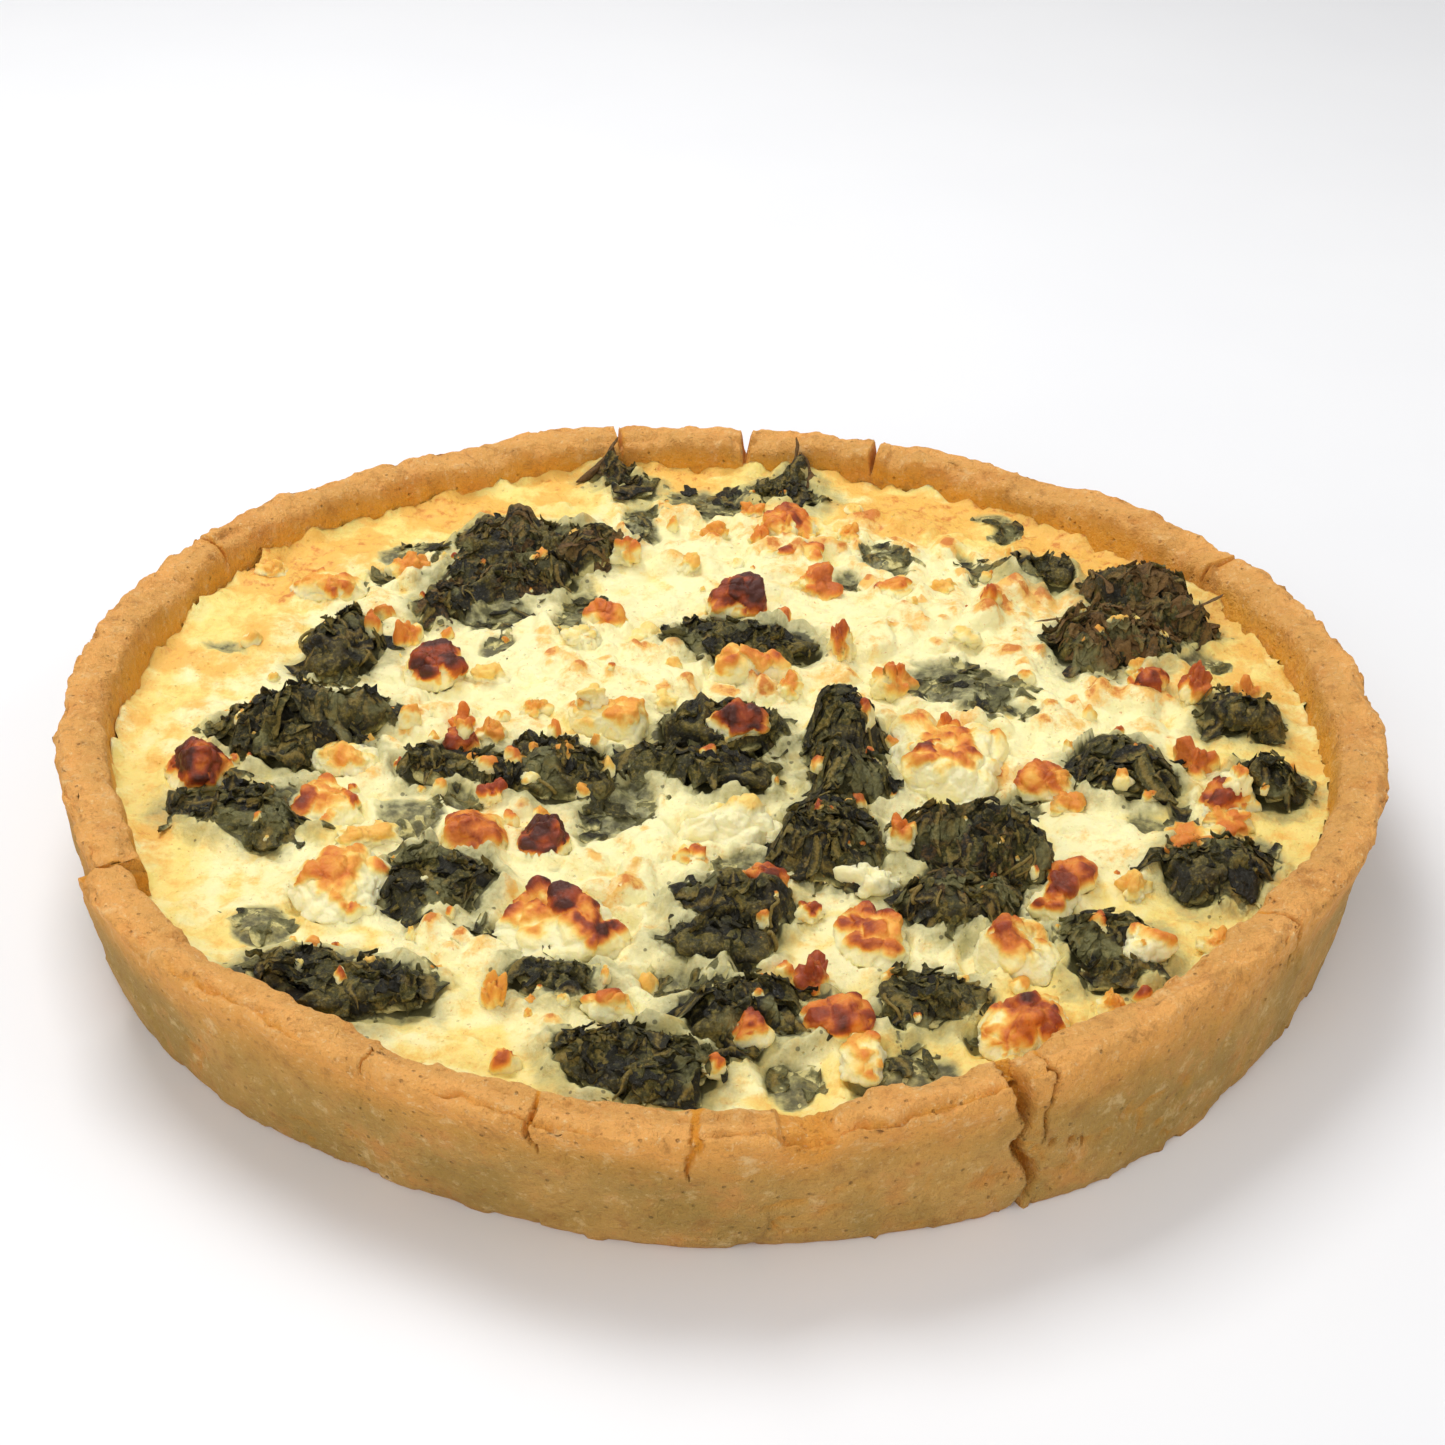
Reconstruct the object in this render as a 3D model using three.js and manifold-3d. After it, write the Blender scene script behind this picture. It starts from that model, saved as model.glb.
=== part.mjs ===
// A whole spinach and feta quiche, baked in a 26 cm springform tin and lifted out of it.
// Millimetres, +Z up. The origin is the middle of the flat underside, and -Y is the front.
import * as THREE from 'three';
import { mergeVertices } from 'three/addons/utils/BufferGeometryUtils.js';
import Module from 'manifold-3d';

const wasm = await Module();
wasm.setup();

// Driving sizes of the pastry case.
const rimRadius = 130.6;
const baseRadius = 125.6;
const caseHeight = 31.8;
const wallThickness = 8.5;
const floorThickness = 6;
const footFlare = 0.3;
const floorCorner = 3;
const wallColumns = 84;

// How far the case is from round and level: [lobes, size, angle of the first crest in degrees].
const rimWaves = [[2, 0.5, 25], [3, 2.1, 20], [4, 1, 3], [6, 0.5, -27], [9, 0.5, -15]];
const baseWaves = [[1, 0.5, 132], [4, 0.4, 21], [5, 0.4, 1], [9, 0.5, -15]];
const heightWaves = [[1, 0.5, -6], [2, 1.2, -16], [3, 0.6, 67], [11, 0.25, 8], [17, 0.2, 3]];

// The stretch of wall beside the front left break leans out: [start and end angle, most lean at the rim].
const leaningWall = { start: 210.6, end: 236, lean: 3.6 };
// The stretch of rim that crumbled off at the front: [start and end angle, depth].
const crumbledRim = { start: 275.6, end: 279.4, depth: 4.6 };

// The wall's section, from the underside to the top of the floor:
// [distance in from the outer face, height as a share of the case].
const wallSection = [
  [0.5, 0], [-0.5, 0.05], [-0.4, 0.45], [0, 0.88], [0.5, 0.96], [1.9, 0.995], [4.3, 1], [6.6, 0.975],
  [8, 0.92], [wallThickness, 0.82], [wallThickness + footFlare, 0.27],
  [wallThickness + floorCorner, floorThickness / caseHeight],
];
// Points of the section above this share of the case follow the rim's uneven height.
const wallFoot = 0.3;

// Cracks in the outer face: [angle, depth into the wall, path from the top down of
// [sideways, height, half width]].
const faceCracks = [
  [294, 6.2, [[-2, 34, 2.2], [-0.6, 26, 1.5], [1.6, 21, 0.9], [-1, 17, 1.1], [3.4, 10, 1.3], [4.6, 6, 0.8],
    [2.2, 0.8, 1.2], [1.6, -2, 1.6]]],
  [257.5, 3.2, [[0.5, 34, 0.9], [-0.4, 28, 0.6], [0.6, 24, 0.3]]],
  [269, 3, [[0.6, 34, 0.8], [0.2, 27, 0.5], [-0.8, 22, 0.3]]],
  [325, 3.4, [[-0.6, 34, 0.9], [0.3, 28, 0.6], [-0.3, 25, 0.3]]],
];

// Gaps that go right through the rim, down to the level of the filling: [angle, path as above].
const rimGaps = [
  [88, [[0.4, 35, 2], [0, 30, 1.2], [0.5, 26.5, 0.7], [-0.2, 24.6, 0.3]]],
  [73.4, [[-0.5, 35, 1.5], [0.3, 29, 0.7], [-0.2, 26, 0.3]]],
  [102, [[0.4, 35, 0.9], [-0.2, 29, 0.4], [0.2, 27, 0.2]]],
  [152.5, [[0.6, 35, 0.9], [0, 30, 0.5], [0.4, 27.5, 0.2]]],
  [30.5, [[0, 35, 0.8], [0.4, 30, 0.4], [0, 28, 0.2]]],
];

// The solids that cut the cracks and gaps run from inside the rim to outside it.
const cutterReach = { inside: 20, outside: 10 };

// The gap that touching pieces keep between them.
const clearance = 0.3;

// The filling: its level, the radii of the rings of its top, and the soft rises on it as
// [x, y, width, depth, height].
const fillingLevel = 23.6;
const fillingColumns = 36;
const fillingRings = [118, 94, 66, 34, 0];
const softRises = [
  [-25, 18, 44, 34, 2.6], [-40, 34, 34, 24, 1.6], [-8, 62, 40, 30, 1.4], [40, 44, 44, 30, 1.6],
  [-20, 88, 10, 16, 1.6], [-69, 70, 24, 10, 2], [55, 17, 24, 24, 2.4], [37, 76, 11, 12, 1.8],
  [63, 95, 11, 10, 2.2], [-83, -70, 12, 10, 1.8], [-59, -33, 15, 10, 2.2], [31, -108, 14, 9, 2.2],
  [-41, -71, 12, 8, 1.6], [84, -34, 24, 20, 1.8], [-60, 0, 26, 16, 1.6], [-100, 44, 24, 40, 0.8],
];

// Spinach clumps as [name, x, y, width, depth, height, turn]. Rows with one name are lobes of one clump.
const spinach = [
  ['back_wall', -22, 107, 13, 11, 4, 10],
  ['back_wall', -27, 112, 9, 8, 8, 20],
  ['back', 14, 107, 19, 14, 5, -5],
  ['back', 16, 113, 8, 8, 8.5, 0],
  ['back_left', -46, 74, 32, 20, 9, 10],
  ['back_left', -47, 60, 30, 18, 5.5, 0],
  ['back_left', -31, 70, 20, 12, 8, 20],
  ['back_left', -60, 49, 13, 16, 4, 0],
  ['centre_back', 4, 34, 34, 17, 5, -6],
  ['left_tall', -79, 25, 15, 25, 8, -12],
  ['left', -84, -4, 37, 16, 9, 6],
  ['left', -82, -14, 28, 13, 5, 0],
  ['left_low', -90, -36, 29, 20, 4, -14],
  ['front_left', -66, -89, 39, 19, 5.5, -12],
  ['band', -33, -20, 27, 22, 6.5, 0],
  ['band', -53, -18, 20, 11, 4, 8],
  ['centre', 0, -3, 27, 15, 7, 0],
  ['centre', -2, -17, 33, 14, 4.5, -4],
  ['mid_left', -51, -57, 23, 23, 5, 12],
  ['front_small', -27, -86, 17, 11, 3.6, -16],
  ['front', -12, -109, 31, 17, 5.5, -6],
  ['front_mid', 7, -94, 29, 18, 6, 4],
  ['mid_front', 4, -63, 26, 14, 6, -8],
  ['mid_front', 1, -74, 22, 14, 4, 0],
  ['tall', 25, -7, 16, 18, 11.5, 4],
  ['tall', 26, -22, 17, 18, 9, -6],
  ['tall', 21, -40, 23, 24, 6.5, 24],
  ['right_mid', 48, -44, 29, 16, 10.5, -14],
  ['right_mid', 45, -58, 24, 19, 6, 0],
  ['right_front', 71, -73, 22, 22, 6, 10],
  ['front_stems', 38, -88, 21, 16, 4.2, 12],
  ['back_right', 70, 69, 20, 10, 5, -20],
  ['dried', 93, 52, 33, 15, 9.5, -38],
  ['dried', 87, 41, 26, 16, 6, -30],
  ['dried', 78, 38, 16, 22, 6, -10],
  ['right_wall', 87, 11, 26, 13, 4.2, 4],
  ['right_wall', 107, 9, 17, 17, 7, 20],
  ['right_low', 80, -14, 20, 20, 6.5, 0],
  ['right_wall_low', 108, -17, 15, 14, 6, -20],
  ['front_right', 95, -46, 19, 22, 5.2, -30],
];

// Feta pieces as [name, x, y, width, depth, height, turn, lift above the filling].
// Rows with one name are lobes of one piece.
const feta = [
  ['left_back', -90, 54, 9, 10, 6, 0, 0],
  ['left_back', -82, 52, 11, 11, 5.5, 10, 0],
  ['left_brown', -59, 19, 15, 14, 8, 25, 0],
  ['back_point', -25, 41, 10, 9, 7, 0, 0],
  ['tall', 2, 49, 13, 12, 12, 15, 0],
  ['back_big', 15, 88, 18, 11, 7, 6, 0],
  ['back_pair', 12, 76, 11, 8, 3.6, 0, 0],
  ['back_pair', 21, 74, 9, 9, 5.5, 0, 0],
  ['back_right', 38, 60, 10, 9, 4.6, 15, 0],
  ['centre_back', 2, 22, 13, 12, 8, 0, 1],
  ['centre_back', 12, 20, 9, 9, 7.5, 0, 0],
  ['right_red', 89, 20, 8, 7, 5.5, 10, 1.5],
  ['clump_top', 1, -7, 10, 8, 5.5, 0, 5],
  ['clump_top', 8, -5, 7, 7, 4, 0, 5],
  ['centre_left', -22, 0, 16, 15, 7, 12, 0],
  ['band_red', -50, -13, 9, 8, 4.6, 0, 2.5],
  ['left_wall', -102, -22, 13, 15, 9, 10, 0],
  ['left_mid', -74, -16, 15, 12, 4.2, -10, 1],
  ['left_ridge', -74, -35, 18, 10, 5, -14, 0],
  ['left_ridge', -76, -28, 8, 7, 4, 0, 0.5],
  ['left_front', -69, -60, 18, 21, 7, -20, 0],
  ['mid_left', -46, -42, 16, 14, 6.6, 8, 0],
  ['mid_brown', -32, -44, 11, 10, 7.2, 0, 0],
  ['largest', -27, -70, 28, 24, 9.6, -24, 0],
  ['largest', -27, -69, 14, 9, 4.6, -6, 8],
  ['front_small', -17, -93, 11, 9, 4.6, 0, 0],
  ['mid_red', 9, -57, 10, 10, 7, 0, 1],
  ['mid_red', 18, -59, 9, 6, 3, 0, 1],
  ['mid_right', 26, -68, 9, 18, 4.2, 0, 0],
  ['mid_right', 31, -73, 11, 13, 7, -8, 0],
  ['right_big', 52, -75, 21, 18, 7.6, -8, 0],
  ['right_pair', 62, -60, 11, 12, 8, 0, 0],
  ['right_pair', 66, -48, 9, 12, 6, 0, 0],
  ['right_clump', 77, -74, 10, 8, 4.5, 0, 3],
  ['front_pair', 19, -85, 10, 9, 5, 0, 2],
  ['front_pair', 21, -95, 12, 10, 5, 0, 1],
  ['front_long', 26, -106, 9, 13, 6.8, 0, 0],
  ['front_dark', 7, -101, 8, 7, 5.5, 0, 2],
  ['front_right', 53, -96, 25, 14, 6.5, 29, 0],
  ['cream_heap', 46, -14, 26, 28, 5.6, 0, 0],
  ['cream_heap', 38, 1, 9, 8, 7.4, 0, 0],
  ['cream_heap', 54, 0, 10, 8, 7, 0, 0],
  ['right_orange', 65, -17, 14, 11, 5.2, 0, 0],
  ['right_wall', 100, -21, 13, 13, 6, 0, 0],
  ['right_wall', 94, -32, 10, 9, 3.8, 0, 0],
  ['cream_front', 4, -36, 27, 12, 5.2, -6, 0],
];

// Small roasted crumbs that sit in the top of the filling, as [x, y, width, height].
const crumbs = [
  [58, 52, 5, 4], [25, 31, 6, 5], [-70, 63, 8, 4.5], [20, 62, 8, 5.5], [36, 20, 8, 8], [-38, -91, 6, 4.5],
  [-34, -108, 5, 4], [-11, -82, 6, 3], [78, -50, 8, 3.5], [73, -86, 9, 3.2], [95, -5, 6, 4.5], [-66, 37, 6, 3],
  [64, 28, 5, 3], [-38, 4, 7, 3], [48, 62, 5, 2.5],
];

// The three kinds of lump: sides and bands of facets, depth below the surface that it lies on, roundness from a
// ball (2) towards a box, size of the ripples and their turns round the lump, and the seed of its first piece.
const spinachShape = { columns: 9, bands: 3, sunk: 5, roundness: 2.2, roughness: 0.15, turns: 4, seed: 300 };
const fetaShape = { columns: 8, bands: 3, sunk: 4.5, roundness: 2.8, roughness: 0.1, turns: 3, seed: 100 };
const crumbShape = { columns: 5, bands: 2, sunk: 1.5, roundness: 2.4, roughness: 0.08, turns: 2, seed: 500 };

const materials = {
  crust: new THREE.MeshStandardMaterial({ color: 0xd0a060, roughness: 0.8, metalness: 0 }),
  filling: new THREE.MeshStandardMaterial({ color: 0xfae08c, roughness: 0.5, metalness: 0 }),
  spinach: new THREE.MeshStandardMaterial({ color: 0x2c3026, roughness: 0.55, metalness: 0 }),
  feta: new THREE.MeshStandardMaterial({ color: 0xf6cf86, roughness: 0.6, metalness: 0 }),
};

const radians = THREE.MathUtils.degToRad;

// Steps smoothly from 0 to 1 between two values.
const ease = (low, high, value) => THREE.MathUtils.smoothstep(value, low, high);

// The sum of a list of waves round the case at an angle in degrees.
function waveSum(waves, angle) {
  return waves.reduce((sum, [lobes, size, crest]) => sum + size * Math.cos(radians(lobes * (angle - crest))), 0);
}

// The top of the wall at an angle, lower where the rim crumbled off.
function rimHeight(angle) {
  const { start, end, depth } = crumbledRim;
  const crumbled = angle > start && angle < end ? depth : 0;
  return caseHeight + waveSum(heightWaves, angle) - crumbled;
}

// The outer face's radius at an angle and height, without the lean of the broken stretch.
function outerRadius(angle, height) {
  const share = height / caseHeight;
  const base = baseRadius + waveSum(baseWaves, angle);
  const rim = rimRadius + waveSum(rimWaves, angle);
  return THREE.MathUtils.lerp(base, rim, share);
}

// How far the broken stretch of wall leans out: most at the break, none at its far end.
function leanAt(angle, height) {
  const { start, end, lean } = leaningWall;
  if (angle < start || angle > end) return 0;
  return (lean * (1 - ease(start, end, angle)) * height) / caseHeight;
}

// A closed geometry as a solid that can be joined and cut. Triangles that shrink to a line at an axis drop out.
function solidOf(geometry) {
  geometry.deleteAttribute('normal');
  geometry.deleteAttribute('uv');
  const merged = mergeVertices(geometry);
  const corners = merged.index.array;
  const triVerts = [];
  for (let i = 0; i < corners.length; i += 3) {
    const [a, b, c] = corners.slice(i, i + 3);
    if (a !== b && b !== c && c !== a) triVerts.push(a, b, c);
  }
  const vertProperties = merged.attributes.position.array;
  return new wasm.Manifold(new wasm.Mesh({ numProp: 3, vertProperties, triVerts: new Uint32Array(triVerts) }));
}

// The largest single body of a solid, without scraps that a cut leaves.
function largestBody(solid) {
  return solid.decompose().reduce((best, body) => (body.volume() > best.volume() ? body : best));
}

// A solid as a named mesh.
function meshOf(name, solid, material) {
  const { vertProperties, triVerts } = largestBody(solid).getMesh();
  const geometry = new THREE.BufferGeometry();
  geometry.setAttribute('position', new THREE.BufferAttribute(vertProperties, 3));
  geometry.setIndex(new THREE.BufferAttribute(triVerts, 1));
  geometry.computeVertexNormals();
  const mesh = new THREE.Mesh(geometry, material);
  mesh.name = name;
  return mesh;
}

// A turned body whose columns stand at the given angles. place(angle, row) gives each point's [radius, height].
function turnedBody(angles, rows, place) {
  const profile = Array.from({ length: rows }, (_, row) => new THREE.Vector2(1, row));
  const geometry = new THREE.LatheGeometry(profile, angles.length);
  const position = geometry.attributes.position;
  for (let column = 0; column <= angles.length; column += 1) {
    const angle = angles[column % angles.length];
    for (let row = 0; row < rows; row += 1) {
      const [radius, height] = place(angle, row);
      const x = radius * Math.cos(radians(angle));
      const y = radius * Math.sin(radians(angle));
      position.setXYZ(column * rows + row, x, y, height);
    }
  }
  return solidOf(geometry);
}

// Even angles round the case, with a pair of columns drawn tight to each sharp step.
function columnAngles(count, steps) {
  const tight = 0.12;
  const pitch = 360 / count;
  const angles = Array.from({ length: count }, (_, i) => i * pitch);
  for (const step of steps) {
    const before = Math.floor(step / pitch);
    angles[before] = step - tight;
    angles[(before + 1) % count] = step + tight;
  }
  return angles;
}

// A crack as a solid to cut with: its path widened to both sides, set at an angle and run outwards from a depth
// inside the rim.
function crackCutter(angle, path, inside) {
  const left = path.map(([side, height, half]) => new THREE.Vector2(side - half, height));
  const right = path.map(([side, height, half]) => new THREE.Vector2(side + half, height));
  const outline = new THREE.Shape([...left, ...right.reverse()]);
  const depth = inside + cutterReach.outside;
  const geometry = new THREE.ExtrudeGeometry(outline, { depth, bevelEnabled: false });
  const outwards = new THREE.Vector3(Math.cos(radians(angle)), Math.sin(radians(angle)), 0);
  const up = new THREE.Vector3(0, 0, 1);
  const along = new THREE.Vector3().crossVectors(up, outwards);
  const frame = new THREE.Matrix4().makeBasis(along, up, outwards);
  frame.setPosition(outwards.clone().multiplyScalar(rimRadius - inside));
  return solidOf(geometry.applyMatrix4(frame));
}

// The pastry case: a turned wall and floor, with its cracks and gaps cut in.
function makeCase() {
  const angles = columnAngles(wallColumns, [leaningWall.start, crumbledRim.start, crumbledRim.end]);
  const rows = wallSection.length + 2;
  let pastry = turnedBody(angles, rows, (angle, row) => {
    if (row === 0) return [0, 0];
    if (row === rows - 1) return [0, floorThickness];
    const [inset, share] = wallSection[row - 1];
    const height = share * (share > wallFoot ? rimHeight(angle) : caseHeight);
    return [outerRadius(angle, height) - inset + leanAt(angle, height), height];
  });
  for (const [angle, depth, path] of faceCracks) {
    pastry = pastry.subtract(crackCutter(angle, path, depth));
  }
  for (const [angle, path] of rimGaps) {
    pastry = pastry.subtract(crackCutter(angle, path, cutterReach.inside));
  }
  return pastry;
}

// The inner face of the wall, less the clearance that the filling and toppings keep.
function roomRadius(angle, height) {
  return outerRadius(angle, height) - wallThickness - footFlare - clearance;
}

// The room inside the case, open upwards past the tallest topping. It widens no further above the top of the
// wall's straight inner face.
function makeRoom() {
  const wallTop = 0.9;
  const heights = [floorThickness + clearance, fillingLevel, caseHeight, 2 * caseHeight];
  const angles = columnAngles(fillingColumns, []);
  return turnedBody(angles, heights.length + 2, (angle, row) => {
    if (row === 0) return [0, heights[0]];
    if (row > heights.length) return [0, heights[heights.length - 1]];
    const height = heights[row - 1];
    const toe = row === 1 ? floorCorner : 0;
    return [roomRadius(angle, Math.min(height, wallTop * caseHeight)) - toe, height];
  });
}

// The top of the filling: its level, slow waves, and a soft rise for each row of softRises.
function fillingTop(x, y) {
  const waves = 0.3 * Math.sin(x / 13 + 1.2) * Math.cos(y / 11) + 0.2 * Math.sin(x / 7 - y / 9);
  const rises = softRises.map(([cx, cy, width, depth, height]) => {
    const away = ((x - cx) / (width / 2)) ** 2 + ((y - cy) / (depth / 2)) ** 2;
    return height * Math.exp(-1.2 * away * away);
  });
  return fillingLevel + waves + rises.reduce((sum, rise) => sum + rise, 0);
}

// The filling under the toppings: a round body as wide as the room, its top in rings.
function makeFillingCore() {
  const angles = columnAngles(fillingColumns, []);
  const underside = floorThickness + clearance;
  const below = [[0, underside], [floorCorner, underside], [0, floorThickness + floorCorner]];
  const rows = below.length + fillingRings.length;
  return turnedBody(angles, rows, (angle, row) => {
    const [toe, low] = below[Math.min(row, below.length - 1)];
    if (row === 0) return [0, low];
    if (row < below.length) return [roomRadius(angle, low) - toe, low];
    const share = fillingRings[row - below.length] / fillingRings[0];
    const radius = share * roomRadius(angle, fillingLevel);
    return [radius, fillingTop(radius * Math.cos(radians(angle)), radius * Math.sin(radians(angle)))];
  });
}

// A seeded source of random numbers from 0 to 1.
function randomFrom(seed) {
  let state = seed * 2654435761;
  return () => {
    state = (state + 0x6d2b79f5) | 0;
    let mixed = Math.imul(state ^ (state >>> 15), 1 | state);
    mixed = (mixed + Math.imul(mixed ^ (mixed >>> 7), 61 | mixed)) ^ mixed;
    return ((mixed ^ (mixed >>> 14)) >>> 0) / 4294967296;
  };
}

// An uneven lump: a dome rounded between a ball and a box, over a cone sunk in what it lies on.
// grow widens it all round.
function lump([x, y, width, depth, height, turn = 0, lift = 0], shape, seed, grow) {
  const random = randomFrom(seed);
  const ripples = Array.from({ length: 6 }, () => ({
    way: new THREE.Vector3(random() - 0.5, random() - 0.5, random() - 0.5).normalize(),
    rate: shape.turns * (0.7 + 0.9 * random()),
    phase: 2 * Math.PI * random(),
  }));
  const dome = Array.from({ length: shape.bands + 1 }, (_, band) => {
    const slope = (Math.PI / 2) * (band / shape.bands);
    return new THREE.Vector2(Math.cos(slope), Math.sin(slope));
  });
  const profile = [new THREE.Vector2(0, -1), ...dome];
  const geometry = new THREE.LatheGeometry(profile, shape.columns).rotateX(Math.PI / 2);
  const position = geometry.attributes.position;
  const point = new THREE.Vector3();
  for (let i = 0; i < position.count; i += 1) {
    point.fromBufferAttribute(position, i);
    const power = shape.roundness;
    const box = Math.abs(point.x) ** power + Math.abs(point.y) ** power + Math.abs(point.z) ** power;
    const waves = ripples.map(({ way, rate, phase }) => Math.sin(rate * point.dot(way) + phase));
    const rippled = waves.reduce((sum, wave) => sum + wave, 0);
    const reach = box ** (-1 / power) * (1 + (shape.roughness * rippled) / 2);
    const rise = (point.z > 0 ? height : shape.sunk) + grow;
    point.multiply(new THREE.Vector3(width / 2 + grow, depth / 2 + grow, rise)).multiplyScalar(reach);
    position.setXYZ(i, point.x, point.y, point.z);
  }
  geometry.rotateZ(radians(turn)).translate(x, y, fillingTop(x, y) + lift);
  return solidOf(geometry);
}

// Joins the rows of a topping list by name, each as its true solid and as one grown by a little over the
// clearance.
function makePieces(rows, shape, prefix) {
  const pieces = new Map();
  rows.forEach(([name, ...sizes], i) => {
    const [solid, grown] = [0, 1.1 * clearance].map((grow) => lump(sizes, shape, shape.seed + i, grow));
    const known = pieces.get(prefix + name);
    pieces.set(prefix + name, known ? [known[0].add(solid), known[1].add(grown)] : [solid, grown]);
  });
  return pieces;
}

const group = new THREE.Group();
const room = makeRoom();
const taken = [];

group.add(meshOf('crust', makeCase(), materials.crust));

// Feta keeps its whole form, spinach gives way to feta, and the filling gives way to both.
const kinds = [
  [makePieces(feta, fetaShape, 'feta_'), materials.feta],
  [makePieces(spinach, spinachShape, 'spinach_'), materials.spinach],
];
for (const [pieces, material] of kinds) {
  for (const [name, [solid, grown]] of pieces) {
    const free = taken.reduce((left, other) => left.subtract(other), solid.intersect(room));
    group.add(meshOf(name, free, material));
    taken.push(grown);
  }
}

let filling = makeFillingCore();
crumbs.forEach(([x, y, width, height], i) => {
  filling = filling.add(lump([x, y, width, width, height], crumbShape, crumbShape.seed + i, 0).intersect(room));
});
filling = taken.reduce((left, other) => left.subtract(other), filling);
group.add(meshOf('filling', filling, materials.filling));

export default group;
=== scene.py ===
import math

import bpy
import numpy as np
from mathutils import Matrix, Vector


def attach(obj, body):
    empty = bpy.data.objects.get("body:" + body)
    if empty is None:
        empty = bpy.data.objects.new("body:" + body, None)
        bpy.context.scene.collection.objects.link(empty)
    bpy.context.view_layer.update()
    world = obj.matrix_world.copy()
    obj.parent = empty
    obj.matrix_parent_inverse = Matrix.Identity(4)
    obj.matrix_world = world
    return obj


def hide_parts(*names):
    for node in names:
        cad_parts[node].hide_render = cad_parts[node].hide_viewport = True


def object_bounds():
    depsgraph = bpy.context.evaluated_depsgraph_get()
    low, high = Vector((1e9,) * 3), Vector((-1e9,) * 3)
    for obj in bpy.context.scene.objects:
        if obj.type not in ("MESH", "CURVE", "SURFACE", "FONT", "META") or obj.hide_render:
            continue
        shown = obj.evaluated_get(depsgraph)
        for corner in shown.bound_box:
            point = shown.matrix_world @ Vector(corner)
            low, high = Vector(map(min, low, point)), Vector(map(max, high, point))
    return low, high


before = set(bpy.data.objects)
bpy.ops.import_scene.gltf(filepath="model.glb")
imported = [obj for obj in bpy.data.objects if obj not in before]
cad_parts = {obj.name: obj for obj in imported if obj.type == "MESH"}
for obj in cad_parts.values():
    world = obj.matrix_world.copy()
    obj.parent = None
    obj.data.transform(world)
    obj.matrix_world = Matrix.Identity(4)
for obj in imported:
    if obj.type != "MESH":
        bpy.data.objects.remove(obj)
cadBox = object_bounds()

# A whole spinach and feta quiche. Sizes are in millimetres until a mesh is made.
mm = 0.001
fullTurn = 2 * math.pi

# shared shapes

case = dict(
    rimRadius=130.6, baseRadius=125.6, height=31.8, wall=8.5, floor=6.0,
    # waves are (lobes, size, first crest)
    rimWaves=[(2, 0.5, 25), (3, 2.1, 20), (4, 1.0, 3), (6, 0.5, -27), (9, 0.5, -15)],
    baseWaves=[(1, 0.5, 132), (4, 0.4, 21), (5, 0.4, 1), (9, 0.5, -15)],
    heightWaves=[(1, 0.5, -6), (2, 1.2, -16), (3, 0.6, 67), (11, 0.25, 8), (17, 0.2, 3)],
    leaning=(210.6, 236.0, 3.6),  # start and end angle, lean at the rim
)
level = dict(
    height=23.6,
    rises=[  # x, y, width, depth, height
        (-25, 18, 44, 34, 2.6), (-40, 34, 34, 24, 1.6), (-8, 62, 40, 30, 1.4), (40, 44, 44, 30, 1.6),
        (-20, 88, 10, 16, 1.6), (-69, 70, 24, 10, 2), (55, 17, 24, 24, 2.4), (37, 76, 11, 12, 1.8),
        (63, 95, 11, 10, 2.2), (-83, -70, 12, 10, 1.8), (-59, -33, 15, 10, 2.2), (31, -108, 14, 9, 2.2),
        (-41, -71, 12, 8, 1.6), (84, -34, 24, 20, 1.8), (-60, 0, 26, 16, 1.6), (-100, 44, 24, 40, 0.8),
    ],
)


def ringAngles(count):
    return np.arange(count) * fullTurn / count


def flatPoints(x, y):
    return np.stack([x, y, 0 * x], -1)


def gridPoints(x, y, z):
    return np.stack(np.broadcast_arrays(x, y, z), -1)


def ballPoints(slope, angle):
    # a ball of radius 1, rows by slope and columns by angle
    return gridPoints(np.cos(slope) * np.cos(angle), np.cos(slope) * np.sin(angle), np.sin(slope))


def patchAway(x, y, patch):
    # the squared distance from the middle of a patch (x, y, width, depth, turn), 1 along its edge
    cx, cy, width, depth, turn = patch
    c, s = math.cos(math.radians(turn)), math.sin(math.radians(turn))
    u, v = (x - cx) * c + (y - cy) * s, (y - cy) * c - (x - cx) * s
    return (2 * u / width) ** 2 + (2 * v / depth) ** 2


def waveSum(waves, angle):
    # adds one cosine for each (lobes, size, first crest in degrees)
    return sum(size * np.cos(lobes * (angle - math.radians(crest))) for lobes, size, crest in waves)


def outerRadius(angle, height):
    # a straight blend from the foot's radius to the rim's
    foot = case["baseRadius"] + waveSum(case["baseWaves"], angle)
    rim = case["rimRadius"] + waveSum(case["rimWaves"], angle)
    return foot + (rim - foot) * height / case["height"]


def leanAt(degrees, height):
    # the broken stretch leans out, most at its break
    start, end, most = case["leaning"]
    return most * (1 - ease(start, end, degrees)) * height / case["height"]


def roomRadius(angle):
    # where the wall's inner face stands at the level of the filling
    degrees = np.degrees(angle) % 360
    lean = leanAt(degrees, level["height"]) * ease(-1, 0, degrees - case["leaning"][0])
    return outerRadius(angle, level["height"]) - case["wall"] + 0.1 + lean


def fillingTop(x, y):
    # the level, two slow waves, and one flat-topped rise exp(-1.2 d^4) for each listed place
    top = level["height"] + 0.3 * np.sin(x / 13 + 1.2) * np.cos(y / 11) + 0.2 * np.sin(x / 7 - y / 9)
    for *patch, height in level["rises"]:
        top = top + height * np.exp(-1.2 * patchAway(x, y, (*patch, 0)) ** 2)
    return top


def ease(low, high, value):
    # an S-shaped step from 0 at low to 1 at high
    part = np.clip((value - low) / (high - low), 0, 1)
    return part * part * (3 - 2 * part)


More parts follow.
